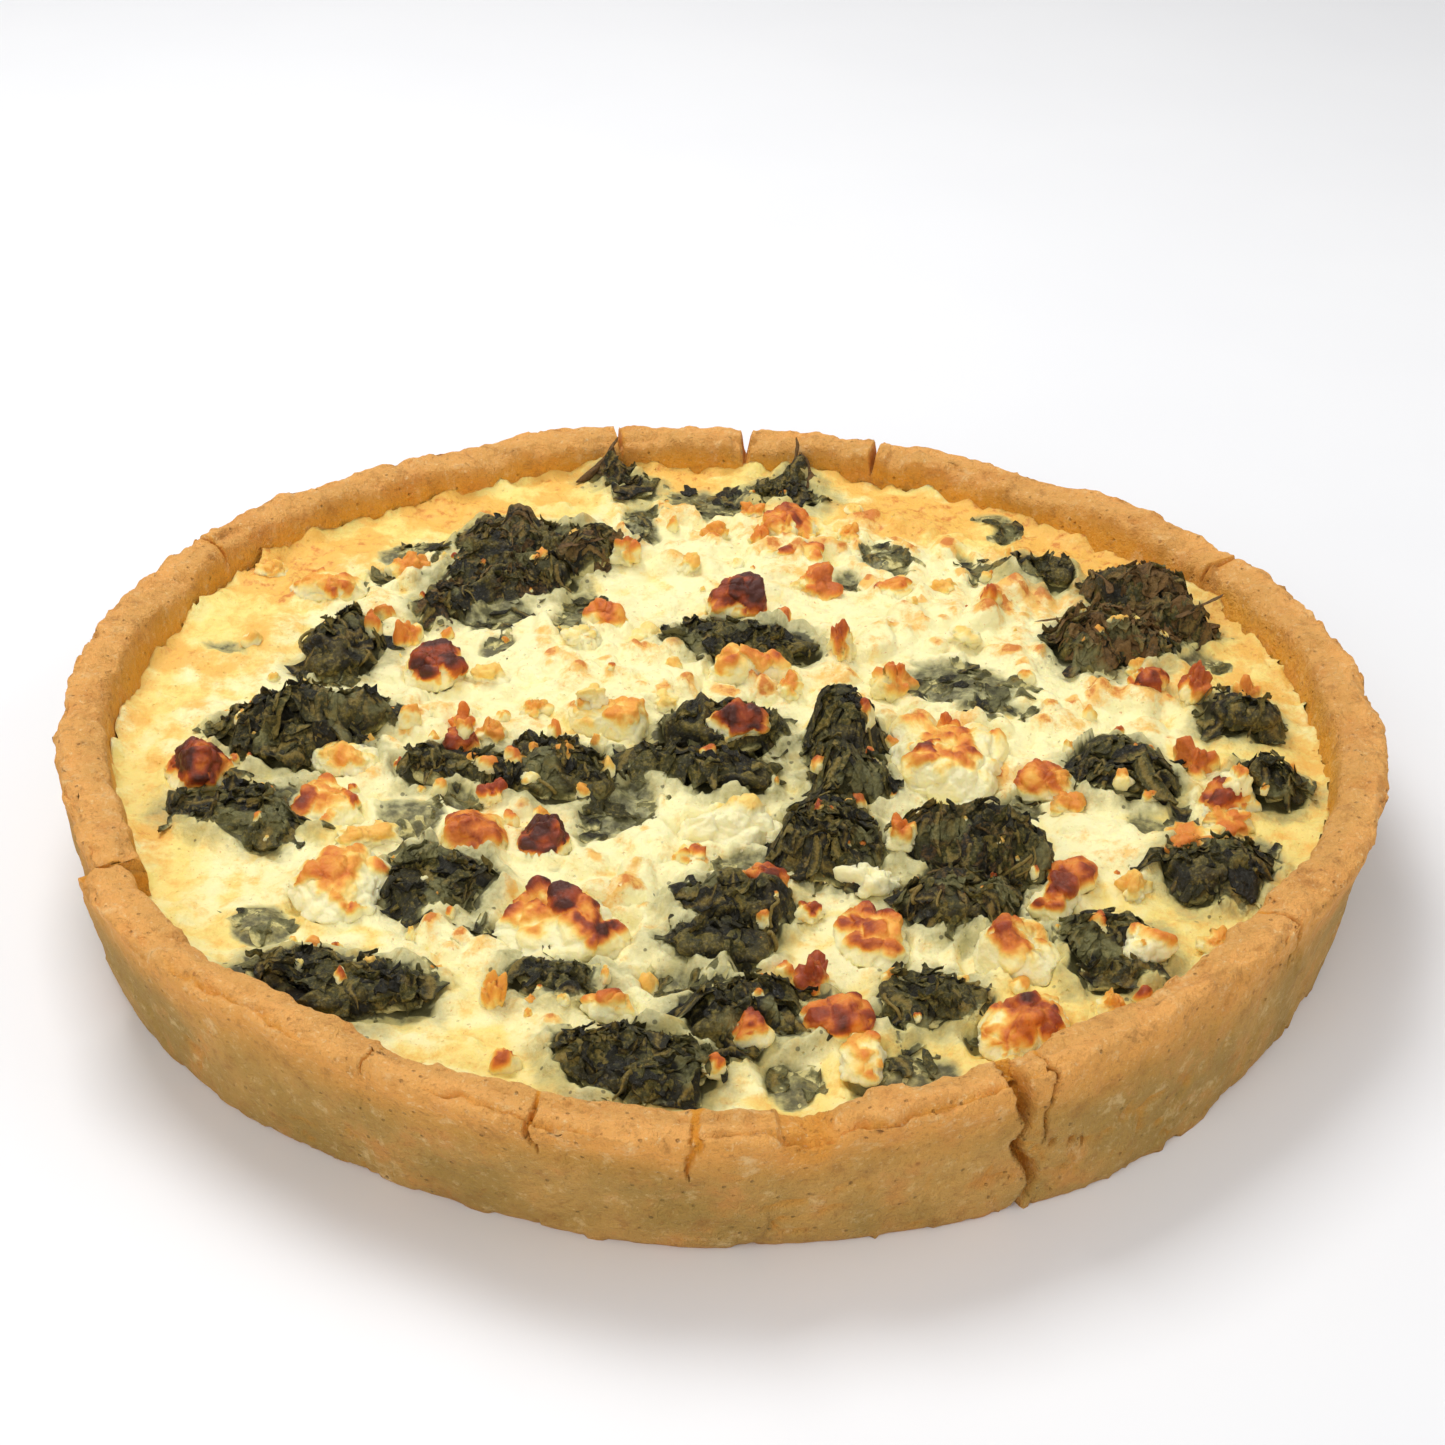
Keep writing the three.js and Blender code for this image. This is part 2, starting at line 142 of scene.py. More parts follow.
def latticeValue(cell, seed):
    # a fixed number from -1 to 1 for each whole-number lattice point
    count = cell[..., 0] * 374761393 + cell[..., 1] * 668265263 + cell[..., 2] * 1442695041 + seed * 97463477
    count = ((count ^ (count >> 13)) * 1274126177) & 0xFFFFFFFF
    return ((count ^ (count >> 16)) & 0xFFFF) / 32767.5 - 1


def smoothNoise(points, size, seed):
    # blends the numbers at the eight lattice corners round each point
    spot = points / size + 500.37
    cell = np.floor(spot).astype(np.int64)
    part = spot - cell
    part = part * part * (3 - 2 * part)
    total = 0
    for corner in range(8):
        offset = np.array([corner & 1, corner >> 1 & 1, corner >> 2])
        weight = np.prod(np.where(offset, part, 1 - part), axis=-1)
        total = total + weight * latticeValue(cell + offset, seed)
    return total


def noiseShift(points, size, seed):
    # three noises as one sideways shift
    return np.stack([smoothNoise(points, size, seed + k) for k in range(3)], -1)


def layeredNoise(points, size, layers, seed):
    # each layer is half as large and half as strong as the one before
    return sum(smoothNoise(points, size / 2 ** k, seed + k) / 2 ** k for k in range(layers))


def foldNoise(points, size, layers, seed):
    # sharp crests where smooth noise crosses zero, as in crumpled leaf
    return sum((1 - 2.6 * np.abs(smoothNoise(points, size / 2 ** k, seed + k))) / 2 ** k
               for k in range(layers))


def lumpNoise(points, size, layers, seed):
    # rounded lumps with narrow creases between them, where smooth noise crosses zero
    return sum(2.4 * np.abs(smoothNoise(points, size / 2 ** k, seed + k)) / 2 ** k for k in range(layers))


def curdNoise(points, size, seed):
    # one centre at a random place in each lattice cell: gives the distances to the nearest two of them, and
    # the number of the nearest
    spot = points / size + 500.37
    home = np.floor(spot).astype(np.int64)
    first = np.full(spot.shape[:-1], 9.0)
    second = first.copy()
    number = np.zeros(spot.shape[:-1])
    for step in range(27):
        cell = home + np.array([step % 3 - 1, step // 3 % 3 - 1, step // 9 - 1])
        centre = cell + 0.5 + 0.45 * np.stack([latticeValue(cell, seed + k) for k in range(3)], -1)
        away = np.sqrt(((spot - centre) ** 2).sum(-1))
        nearer = away < first
        second = np.where(nearer, first, np.minimum(second, away))
        number = np.where(nearer, latticeValue(cell, seed + 7), number)
        first = np.where(nearer, away, first)
    return first, second, number


def blurRings(values, passes):
    # averages each value with its neighbours round the ring and along the rings
    for _ in range(passes):
        values = (np.roll(values, 1, 1) + 2 * values + np.roll(values, -1, 1)) / 4
        ends = np.concatenate([values[:1], values, values[-1:]])
        values = (ends[:-2] + 2 * values + ends[2:]) / 4
    return values


# meshes


def ringFaces(count, rows, columns, first):
    # quads between the closed rings of each shell, and a fan of triangles to the pole at each end of it
    ring = np.arange(count * rows * columns).reshape(count, rows, columns) + first
    after = np.roll(ring, -1, 2)
    quads = np.stack([ring[:, :-1], after[:, :-1], after[:, 1:], ring[:, 1:]], -1).reshape(-1, 4)
    start = (first + ring.size + np.arange(count))[:, None] + 0 * ring[:, 0]
    fans = [np.stack([start, after[:, 0], ring[:, 0]], -1),
            np.stack([start + count, ring[:, -1], after[:, -1]], -1)]
    return quads.tolist() + np.concatenate(fans).reshape(-1, 3).tolist()


def placeObject(name, data):
    made = bpy.data.objects.new(name, data)
    bpy.context.scene.collection.objects.link(made)
    return made


def makePiece(name, shells, material, nodes=()):
    # joins groups of closed shells (rings of points, start poles, end poles, attribute values) into one mesh
    points, faces, values = [], [], {key: [] for key in shells[0][3]}
    first = 0
    for rings, start, end, marks in shells:
        rings = rings.reshape(-1, *rings.shape[-3:])
        count, rows, columns = rings.shape[:3]
        faces += ringFaces(count, rows, columns, first)
        points += [rings.reshape(-1, 3), np.reshape(start, (-1, 3)), np.reshape(end, (-1, 3))]
        for key, mark in marks.items():
            mark = np.reshape(mark, (count, rows, columns))
            values[key] += [mark.ravel(), mark[:, 0].mean(-1), mark[:, -1].mean(-1)]
        first += count * (rows * columns + 2)
    mesh = bpy.data.meshes.new(name)
    mesh.from_pydata(np.concatenate(points) * mm, [], faces)
    mesh.polygons.foreach_set("use_smooth", [True] * len(mesh.polygons))
    for key, parts in values.items():
        attribute = mesh.attributes.new(key, "FLOAT", "POINT")
        attribute.data.foreach_set("value", np.concatenate(parts).astype(np.float32))
    mesh.materials.append(material)
    piece = placeObject(name, mesh)
    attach(piece, "root")
    if nodes:
        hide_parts(*nodes)


# materials


class Wire:
    # a socket of a material, with arithmetic that adds Math nodes

    def __init__(self, recipe, socket):
        self.recipe = recipe
        self.socket = socket

    def math(self, operation, first, second):
        made = self.recipe.node("ShaderNodeMath", dict(operation=operation), {0: first, 1: second})
        return Wire(self.recipe, made.outputs[0])

    def __add__(self, other):
        return self.math("ADD", self, other)

    def __radd__(self, other):
        return self.math("ADD", other, self)

    def __sub__(self, other):
        return self.math("SUBTRACT", self, other)

    def __rsub__(self, other):
        return self.math("SUBTRACT", other, self)

    def __mul__(self, other):
        return self.math("MULTIPLY", self, other)

    def __rmul__(self, other):
        return self.math("MULTIPLY", other, self)


class Recipe:
    # one material and the few node patterns that the finishes share

    def __init__(self, name):
        self.material = bpy.data.materials.new(name)
        self.material.use_nodes = True
        self.tree = self.material.node_tree
        self.tree.nodes.clear()
        self.place = self.wire(self.node("ShaderNodeTexCoord", {}, {}), "Object")

    def node(self, kind, settings, sockets):
        made = self.tree.nodes.new(kind)
        for key, value in settings.items():
            if key == "stops":
                setStops(made.color_ramp, value)
            else:
                setattr(made, key, value)
        for key, value in sockets.items():
            if isinstance(value, Wire):
                self.tree.links.new(value.socket, made.inputs[key])
            else:
                made.inputs[key].default_value = value
        return made

    def wire(self, made, output=0):
        return Wire(self, made.outputs[output])

    def mark(self, name):
        return self.wire(self.node("ShaderNodeAttribute", dict(attribute_name=name), {}), "Fac")

    def noise(self, size, detail=3, roughness=0.55, warp=0.0):
        sockets = {"Vector": self.place, "Scale": 1 / (size * mm), "Detail": detail,
                   "Roughness": roughness, "Distortion": warp}
        return self.wire(self.node("ShaderNodeTexNoise", {}, sockets), "Fac")

    def cells(self, size):
        sockets = {"Vector": self.place, "Scale": 1 / (size * mm)}
        return self.wire(self.node("ShaderNodeTexVoronoi", {}, sockets), "Distance")

    def step(self, value, low, high):
        sockets = {"Value": value, "From Min": low, "From Max": high}
        return self.wire(self.node("ShaderNodeMapRange", dict(interpolation_type="SMOOTHSTEP"), sockets))

    def ramp(self, value, stops):
        return self.wire(self.node("ShaderNodeValToRGB", dict(stops=stops), {"Fac": value}), "Color")

    def mix(self, factor, first, second):
        # a mix of colours keeps them in sockets 6 and 7, and gives its result from output 2
        sockets = {0: factor, 6: colourOf(first), 7: colourOf(second)}
        return self.wire(self.node("ShaderNodeMix", dict(data_type="RGBA"), sockets), 2)

    def layers(self, look, colour, rows):
        # lays the named colour of each (mask, name) over what is there
        for mask, name in rows:
            colour = self.mix(mask, colour, look[name])
        return colour

    def bump(self, height, distance):
        return self.wire(self.node("ShaderNodeBump", {}, {"Height": height, "Distance": distance * mm}))

    def finish(self, look, colour, roughness, height=None):
        sockets = {**look["shader"], "Base Color": colour, "Roughness": roughness}
        if height is not None:
            sockets["Normal"] = self.bump(height, look["relief"])
        shader = self.node("ShaderNodeBsdfPrincipled", {}, sockets)
        self.node("ShaderNodeOutputMaterial", {}, {"Surface": self.wire(shader)})
        return self.material


def tint(colour):
    # an everyday 0-255 colour as the linear light that a shader works in
    part = np.array(colour) / 255
    linear = np.where(part <= 0.04045, part / 12.92, ((part + 0.055) / 1.055) ** 2.4)
    return (*linear.tolist(), 1.0)


def colourOf(value):
    return value if isinstance(value, Wire) else tint(value)


def setStops(ramp, stops):
    while len(ramp.elements) < len(stops):
        ramp.elements.new(1)
    for element, (position, colour) in zip(ramp.elements, stops):
        element.position = position
        element.color = tint(colour)


def makePastry(look):
    r = Recipe("bakedPastry")
    toast, golden, fat = r.mark("toast"), r.mark("golden"), r.mark("fat")
    cloud, blotch, grain, fleck = r.noise(22, 3), r.noise(5, 5, 0.7), r.noise(1.3, 5, 0.7), r.cells(2.6)
    plain = r.mix(r.step(cloud, 0.35, 0.68), look["dull"], look["beige"])
    colour = r.layers(look, plain, [
        (toast * (0.6 + 0.6 * r.noise(9)), "toasted"),
        (fat * 0.9, "greasy"),
        (golden, "golden"),
        (r.step(r.noise(11, 4, 0.66), 0.5, 0.68) * 0.5, "warm"),
        (r.step(blotch, 0.52, 0.72) * 0.5, "dark"),
        (r.step(blotch, 0.45, 0.26) * 0.45, "pale"),
        (r.step(grain, 0.54, 0.72) * 0.5, "dark"),
        (r.step(grain, 0.44, 0.28) * (0.25 + 0.35 * toast), "pale"),
        (r.step(fleck, 0.12, 0.05) * r.step(r.noise(9), 0.68, 0.76) * 0.45, "pale"),
        (r.step(r.cells(9), 0.07, 0.03) * 0.55, "burnt"),
    ])
    height = r.noise(2.0, 5, 0.66) + 0.5 * r.noise(0.6, 3) - 0.9 * r.step(r.cells(2.9), 0.14, 0.0)
    return r.finish(look, colour, 0.78 - 0.32 * fat, height)


def makeCustard(look):
    r = Recipe("setCustard")
    rim, veil, bake = r.mark("rim"), r.mark("veil"), r.mark("bake")
    cloud, fine = r.noise(9, 4, 0.6), r.noise(2.2, 4, 0.6)
    # cream to yellow by cloud and the rim mark, which is yellower near the wall and, as painted shade, in the
    # hollows between lumps
    plain = r.mix(r.step(cloud + 0.6 * rim, 0.5, 1.0), look["cream"], look["yellow"])
    colour = r.layers(look, plain, [
        (r.step(r.noise(4.5, 5, 0.72) + 0.34 * bake + 0.1 * rim, 0.52, 0.82) * 0.9, "gold"),
        (r.step(r.noise(2.6, 4, 0.66) + 0.38 * bake, 0.8, 1.02), "brown"),
        (r.step(r.noise(0.8, 2), 0.66, 0.76) * 0.6, "brown"),
        (r.step(veil + 0.6 * (fine - 0.5), 0.2, 0.8) * 0.8, "veil"),
        (r.step(r.cells(3.4), 0.15, 0.11) * r.step(veil, 0.25, 0.5) * 0.7, "leaf"),  # bubbles
        (r.step(veil + 0.7 * (fine - 0.5), 0.66, 0.95) * 0.9, "leaf"),
    ])
    height = r.noise(1.5, 5, 0.65) + 0.6 * r.noise(4, 2) - 0.6 * r.step(r.cells(2.6), 0.14, 0.0)
    return r.finish(look, colour, 0.38 + 0.25 * r.noise(5), height)


def makeSpinach(look):
    r = Recipe("cookedSpinach")
    lap, dry, vein, tone = r.mark("lap"), r.mark("dry"), r.mark("vein"), r.mark("tone")
    cloud, fine = r.noise(4, 4, 0.6), r.noise(0.9, 5, 0.7)
    # The mark read here is random tone and also a painted highlight: the crests of folds come out lighter
    # green and more olive.
    plain = r.mix(r.step(0.6 * cloud + 0.6 * tone, 0.4, 0.95), look["dark"], look["green"])
    colour = r.layers(look, plain, [
        (r.step(fine + 0.3 * vein + 0.16 * tone, 0.58, 0.82) * 0.8, "olive"),
        (vein * 0.8, "stem"),
        (r.step(dry + 1.4 * (fine - 0.5), 0.3, 0.8) * 0.85, "dried"),
        (r.step(lap + 0.8 * (r.noise(2.1, 4, 0.6) - 0.5), 0.3, 0.75) * 0.75, "veil"),
        (r.step(lap + 0.8 * (r.noise(1.5, 4, 0.6) - 0.5), 0.75, 1.0) * 0.85, "cream"),
    ])
    return r.finish(look, colour, 0.42 + 0.35 * dry, r.noise(1.0, 5, 0.7, 0.8) + 0.5 * r.cells(0.8))


def makeFeta(look):
    r = Recipe("bakedFeta")
    roast = r.mark("roast")
    amount = roast + 0.2 * (r.noise(3.2, 4, 0.6) - 0.5) + 0.16 * (r.noise(0.9, 4, 0.65) - 0.5)
    height = r.noise(1.1, 5, 0.65) + 0.5 * r.noise(2.6, 2)
    return r.finish(look, r.ramp(amount, look["stops"]), 0.55 - 0.12 * r.step(roast, 0.4, 0.8), height)


def makeFloor(look):
    r = Recipe("paleFloor")
    return r.finish(look, r.mix(r.noise(90, 2), look["light"], look["shade"]), look["roughness"])


pastryLook = dict(dull=(174, 138, 68), beige=(206, 158, 82), toasted=(245, 177, 95), greasy=(234, 161, 42),
                  golden=(228, 152, 44), warm=(214, 142, 68), dark=(160, 104, 46), pale=(250, 222, 164),
                  burnt=(150, 84, 36), relief=1.3,
                  shader={"Specular IOR Level": 0.35, "Subsurface Weight": 0.06, "Subsurface Scale": 0.5,
                          "Subsurface Radius": (0.004, 0.002, 0.001)})
custardLook = dict(cream=(254, 243, 184), yellow=(250, 225, 130), gold=(244, 188, 84), brown=(214, 130, 46),
                   veil=(160, 156, 104), leaf=(74, 70, 36), relief=0.6,
                   shader={"Specular IOR Level": 0.45, "Subsurface Weight": 0.25, "Subsurface Scale": 0.5,
                           "Subsurface Radius": (0.004, 0.0028, 0.0012)})
spinachLook = dict(dark=(29, 26, 10), green=(76, 72, 30), olive=(146, 128, 60), stem=(146, 120, 58),
                   dried=(126, 92, 48), veil=(134, 130, 82), cream=(238, 224, 150), relief=0.7,
                   shader={"Specular IOR Level": 0.36})
fetaLook = dict(relief=0.45,
                stops=[  # roast, colour
                    (0.0, (253, 242, 190)), (0.16, (254, 234, 162)), (0.3, (252, 210, 112)),
                    (0.46, (240, 168, 66)), (0.64, (220, 122, 40)), (0.8, (160, 66, 24)), (1.0, (80, 32, 16)),
                ],
                shader={"Specular IOR Level": 0.4, "Subsurface Weight": 0.3, "Subsurface Scale": 0.6,
                        "Subsurface Radius": (0.005, 0.0035, 0.0015)})
pastry = makePastry(pastryLook)
custard = makeCustard(custardLook)
spinach = makeSpinach(spinachLook)
feta = makeFeta(fetaLook)
print("materials made")

# the pastry case
crust = dict(
    columns=1250, wallRows=26, rimRows=22, innerRows=10, rimPower=0.72, footRound=0.9, steps=(275.2, 278.9),
    crackColumns=(3.2, 1.7),  # more columns at a crack, half width in degrees
    noiseRadius=130, gapTint=1.3, mmPerDegree=2.27,
    crumbled=[  # angle, drop of the rim
        (272.6, 0), (273.8, 0.9), (274.9, 1.2), (275.3, 3.1), (276.4, 3.9), (278.2, 4.4), (278.7, 3.7),
        (279.2, 1.9), (279.9, 0.8), (281.5, 0.2), (282.4, 0),
    ],
    faceCracks=[  # angle, depth, path of (sideways, height, half width) from the top down
        (294, 4.6, [(-2, 34, 2.2), (-0.6, 26, 1.5), (1.6, 21, 0.9), (-1, 17, 1.1), (3.4, 10, 1.3),
                    (4.6, 6, 0.8), (2.2, 0.8, 1.2), (1.6, -2, 1.6)]),
        (298.5, 2.2, [(-5.5, 16, 0.3), (-3, 14.6, 0.9), (1, 13.8, 0.7), (4, 12.2, 0.2), (4.2, 12, 0)]),
        (257.5, 2.2, [(0.5, 34, 0.6), (-0.4, 28, 0.4), (0.6, 24, 0.25), (0.7, 21, 0)]),
        (269, 1.1, [(0.9, 34, 1.3), (0.3, 28, 0.9), (-0.5, 24, 0.6), (-0.6, 21, 0.3), (-0.4, 19, 0)]),
        (244, 1.6, [(0.6, 34, 0.5), (-0.3, 30, 0.3), (0.3, 27, 0)]),
        (325, 2.4, [(-0.6, 34, 0.6), (0.3, 28, 0.4), (-0.3, 25, 0.2), (-0.3, 22, 0)]),
    ],
    rimGaps=[  # angle, (half width, height) from the bottom up
        (88, [(0, 24.2), (0.4, 25.5), (0.9, 28.5), (1.6, 31), (2.4, 36)]),
        (73.4, [(0, 25.4), (0.3, 27), (0.8, 30), (1.6, 36)]),
        (102, [(0, 27), (0.3, 28.5), (0.6, 31), (1.0, 36)]),
        (152.5, [(0, 27.6), (0.4, 29), (0.7, 31), (1.0, 36)]),
        (30.5, [(0, 28.2), (0.3, 29.5), (0.6, 31), (0.9, 36)]),
    ],
)


def crustAngles():
    # columns drawn closer together round each crack, by inverting the summed density of columns
    angle = np.linspace(0, fullTurn, 20001)
    density = np.ones_like(angle)
    places = [row[0] for row in crust["faceCracks"] + crust["rimGaps"]]
    more, width = crust["crackColumns"]
    for place in places + [*crust["steps"], case["leaning"][0]]:
        away = np.degrees(angle) - place
        density += more * np.exp(-(away / width) ** 2)
    total = np.concatenate([[0], np.cumsum((density[1:] + density[:-1]) / 2)])
    return np.interp(np.arange(crust["columns"]) / crust["columns"], total / total[-1], angle)


def rimHeightAt(angle):
    # the waves of the rim, small nibbles, the crumbled notch and the gaps that run down through the wall
    degrees = np.degrees(angle)
    spot = flatPoints(crust["noiseRadius"] * np.cos(angle), crust["noiseRadius"] * np.sin(angle))
    height = case["height"] + waveSum(case["heightWaves"], angle)
    height = height + 0.55 * layeredNoise(spot, 14, 4, 11)
    height = height - 0.6 * ease(0.35, 0.8, smoothNoise(spot, 4, 19))
    jagged = ease(72, 74, degrees) * (1 - ease(83, 85, degrees))
    height = height + jagged * 0.9 * layeredNoise(spot, 3.2, 3, 23)
    drop = np.interp(degrees + 0.25 * smoothNoise(spot, 1.6, 29), *np.array(crust["crumbled"]).T)
    height = height - drop * (1 + 0.16 * layeredNoise(spot, 2.2, 2, 31))
    for place, halves in crust["rimGaps"]:
        side = np.abs(np.radians(degrees - place)) * case["rimRadius"]
        side = side + 0.3 * smoothNoise(spot, 1.1, 37) * ease(0, 0.5, side)
        height = np.minimum(height, np.interp(side, [half for half, _ in halves], [z for _, z in halves]))
    return height


def makeCrust():
    # rows run from the foot up the outer face, over the rim as a half superellipse, and down the inner face
    angle = crustAngles()[None, :]
    wall, rule = case["wall"], crust
    up = np.linspace(0, 1, rule["wallRows"])
    turn = np.linspace(0, math.pi, rule["rimRows"] + 2)[1:-1]
    down = np.linspace(0, 1, rule["innerRows"])
    lean = np.sign(np.cos(turn)) * np.abs(np.cos(turn)) ** rule["rimPower"]
    inset = np.concatenate([rule["footRound"] * np.exp(-up * 26), wall / 2 * (1 - lean), wall + 0.4 * down])
    inset = inset[:, None]
    share = np.concatenate([0.9 * up, 0.9 + 0.1 * np.sin(turn) ** 0.5, 0.88 - 0.6 * down])[:, None]
    high = ease(0.2, 0.75, share)
    height = share * (rimHeightAt(angle) * high + case["height"] * (1 - high))
    outer = (inset < wall / 2).astype(float)
    radius = outerRadius(angle, height) - inset

    # the wall's unevenness: slow hand-pressed waves, then crumb, stronger over the rim
    across, deep = rule["noiseRadius"] * np.cos(angle), rule["noiseRadius"] * np.sin(angle)
    flat = gridPoints(across, deep, height + inset * 1.7)
    rimShare = ease(0.8, 0.97, share)
    swell = 0.5 * smoothNoise(flat, 26, 41) + (0.34 + 0.3 * rimShare) * layeredNoise(flat, 9, 3, 43)
    crumb = (0.17 + 0.3 * rimShare) * layeredNoise(flat, 2.6, 3, 47)
    plates = smoothNoise(flat + 2 * noiseShift(flat, 5, 44) * [1, 1, 0.4], 12, 48)
    crumb = crumb + 0.4 * ease(-0.03, 0.04, plates) - 0.3 * np.exp(-(plates / 0.02) ** 2)
    pits = ease(0.55, 0.85, smoothNoise(flat, 2.6, 53)) * ease(0.1, 0.6, smoothNoise(flat, 17, 54))
    radius = radius + np.where(outer > 0, 1, -1) * (swell + crumb - 0.45 * pits)
    chips = ease(0.1, 0.28, smoothNoise(flat + 1.5 * noiseShift(flat, 3, 62), 6.5, 58))
    chips = chips * ease(2.5, 6.5, inset)
    nicks = ease(0.15, 0.35, layeredNoise(flat + noiseShift(flat, 2, 64), 4, 2, 60)) * ease(3.2, 0.8, inset)
    crags = 0.6 * layeredNoise(flat, 3.8, 4, 59) - 0.4 * pits - 1.2 * chips - 0.8 * nicks
    height = height + rimShare * crags

    # a long thin split along the front of the rim, with its lip lifted
    degrees = np.degrees(angle)
    along = ease(203, 212, degrees) * (1 - ease(292, 300, degrees))
    along = along * ease(-0.35, 0.2, smoothNoise(flat, 24, 61))
    splitAt = 1.7 + 0.9 * smoothNoise(flat * [1, 1, 0], 9, 67)
    split = along * np.exp(-((inset - splitAt) / 0.35) ** 2) * rimShare
    height = height - 1.2 * split
    radius = radius + 0.5 * along * ease(1.9, 0.6, inset) * ease(0.7, 0.9, share)

    # short flaky cracks that lie level in the outer face
    layered = gridPoints(across / 3.5, deep / 3.5, height)
    flake = ease(0.1, 0.0, np.abs(smoothNoise(layered, 2.6, 71))) * ease(0.15, 0.5, smoothNoise(flat, 15, 73))
    flake = flake * ease(0.75, 0.5, share)
    radius = radius - 0.7 * flake * outer
    ragged = ease(0.1, 0.45, layeredNoise(flat, 2.6, 2, 75)) * ease(-0.1, 0.3, smoothNoise(flat, 16, 76))
    radius = radius + 0.9 * outer * ease(0.06, 0.0, share) * ragged

    band = ease(0.5, 0.8, share) * ease(1.0, 0.93, share) * outer
    golden = 0.5 * flake * outer + 0.8 * split + 0.34 * band
    for place, depth, path in crust["faceCracks"]:
        sides, heights, halves = (np.array(part[::-1]) for part in zip(*path))
        side = np.radians(degrees - place) * case["rimRadius"] - np.interp(height, heights, sides)
        side = side + 0.5 * layeredNoise(flat, 2.4, 2, 79)
        half = np.interp(height, heights, halves) + 0.01
        cut = ease(1.15, 0.6, np.abs(side) / half) * (half > 0.05)
        reach = ease(wall - 1, 2.5, inset) if depth < 4 else ease(wall + 0.5, wall - 2.5, inset)
        radius = radius - depth * cut * outer * reach
        height = height - cut * rimShare * 0.8 * min(depth, 4) * reach
        golden = np.maximum(golden, cut)

    # the broken stretch leans out, with a ragged edge
    start, end, _ = case["leaning"]
    edge = start + 0.35 * layeredNoise(flat, 3.0, 3, 83)
    leaning = (degrees > edge) & (degrees < end)
    radius = radius + np.where(leaning, leanAt(degrees, height), 0)
    golden = np.maximum(golden, np.exp(-((degrees - start) / 0.5) ** 2) * (degrees < edge + 0.1))

    for place, _ in crust["rimGaps"]:
        nearGap = np.exp(-((degrees - place) * rule["mmPerDegree"] / rule["gapTint"]) ** 2)
        golden = np.maximum(golden, 0.8 * nearGap * ease(0.85, 0.95, share))
    toast = ease(0.66, 0.97, share + 0.06 * smoothNoise(flat, 8, 89)) * (0.5 + 0.5 * outer + 0.3 * rimShare)
    toast = np.clip(toast + 0.5 * ease(0.05, 0.0, share), 0, 1)
    notch = np.interp(degrees, *np.array(crust["crumbled"]).T) / max(drop for _, drop in crust["crumbled"])
    golden = np.maximum(golden, 0.75 * notch * ease(0.62, 0.95, share + 0.06 * smoothNoise(flat, 4, 91)))
    fat = (1 - outer) * ease(1.0, 0.8, share)
    rings = gridPoints(radius * np.cos(angle), radius * np.sin(angle), height)

    # the underside and the floor close the shape
    foot = rings[:1] * np.array([1, 1, 0]) * np.array([[[0.45]], [[0.9]], [[0.99]]])
    floor = rings[-1:] * np.array([1, 1, 0]) * np.array([[[0.97]], [[0.5]]]) + [0, 0, case["floor"]]
    rings[..., 2] = np.maximum(rings[..., 2], 0)
    whole = np.concatenate([foot, rings, floor])
    marks = {}
    for key, values in (("toast", toast), ("golden", golden), ("fat", fat)):
        values = np.clip(np.broadcast_to(values, radius.shape), 0, 1)
        marks[key] = np.concatenate([np.repeat(values[:1], 3, 0), values, np.repeat(values[-1:], 2, 0)])
    makePiece("pastryCase", [(whole, (0, 0, 0), (0, 0, case["floor"]), marks)], pastry, ["crust"])


makeCrust()
print("pastry case made")

# where the toppings lie


def nodeTriangles(name):
    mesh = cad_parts[name].data
    mesh.calc_loop_triangles()
    corners = np.empty(3 * len(mesh.loop_triangles), np.int32)
    mesh.loop_triangles.foreach_get("vertices", corners)
    places = np.empty(3 * len(mesh.vertices), np.float32)
    mesh.vertices.foreach_get("co", places)
    return places.reshape(-1, 3)[corners].reshape(-1, 3, 3).astype(float) / mm


def rayReach(triangles, origin, ways):
    # the farthest place where each way from the origin leaves the triangles: solves for the crossing points
    corner = triangles[:, 0]
    sideA, sideB = triangles[:, 1] - corner, triangles[:, 2] - corner
    back = origin - corner
    flat = ways.reshape(-1, 3)
    with np.errstate(divide="ignore", invalid="ignore"):
        scale = 1 / (flat @ np.cross(sideB, sideA).T)
        alongA = (flat @ np.cross(sideB, back).T) * scale
        alongB = (flat @ np.cross(back, sideA).T) * scale
        reach = (sideB * np.cross(back, sideA)).sum(1) * scale
        hit = (alongA > -1e-6) & (alongB > -1e-6) & (alongA + alongB < 1 + 1e-6) & (reach > 0)
    return np.where(hit, reach, 0).max(1).reshape(ways.shape[:-1])


nodeNames = sorted(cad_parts)
spinachNodes = [name for name in nodeNames if name.startswith("spinach_")]
fetaNodes = [name for name in nodeNames if name.startswith("feta_")]
solids = {name: nodeTriangles(name) for name in spinachNodes + fetaNodes}

raster = dict(step=0.6, half=123.0)
rasterCount = int(2 * raster["half"] / raster["step"]) + 1


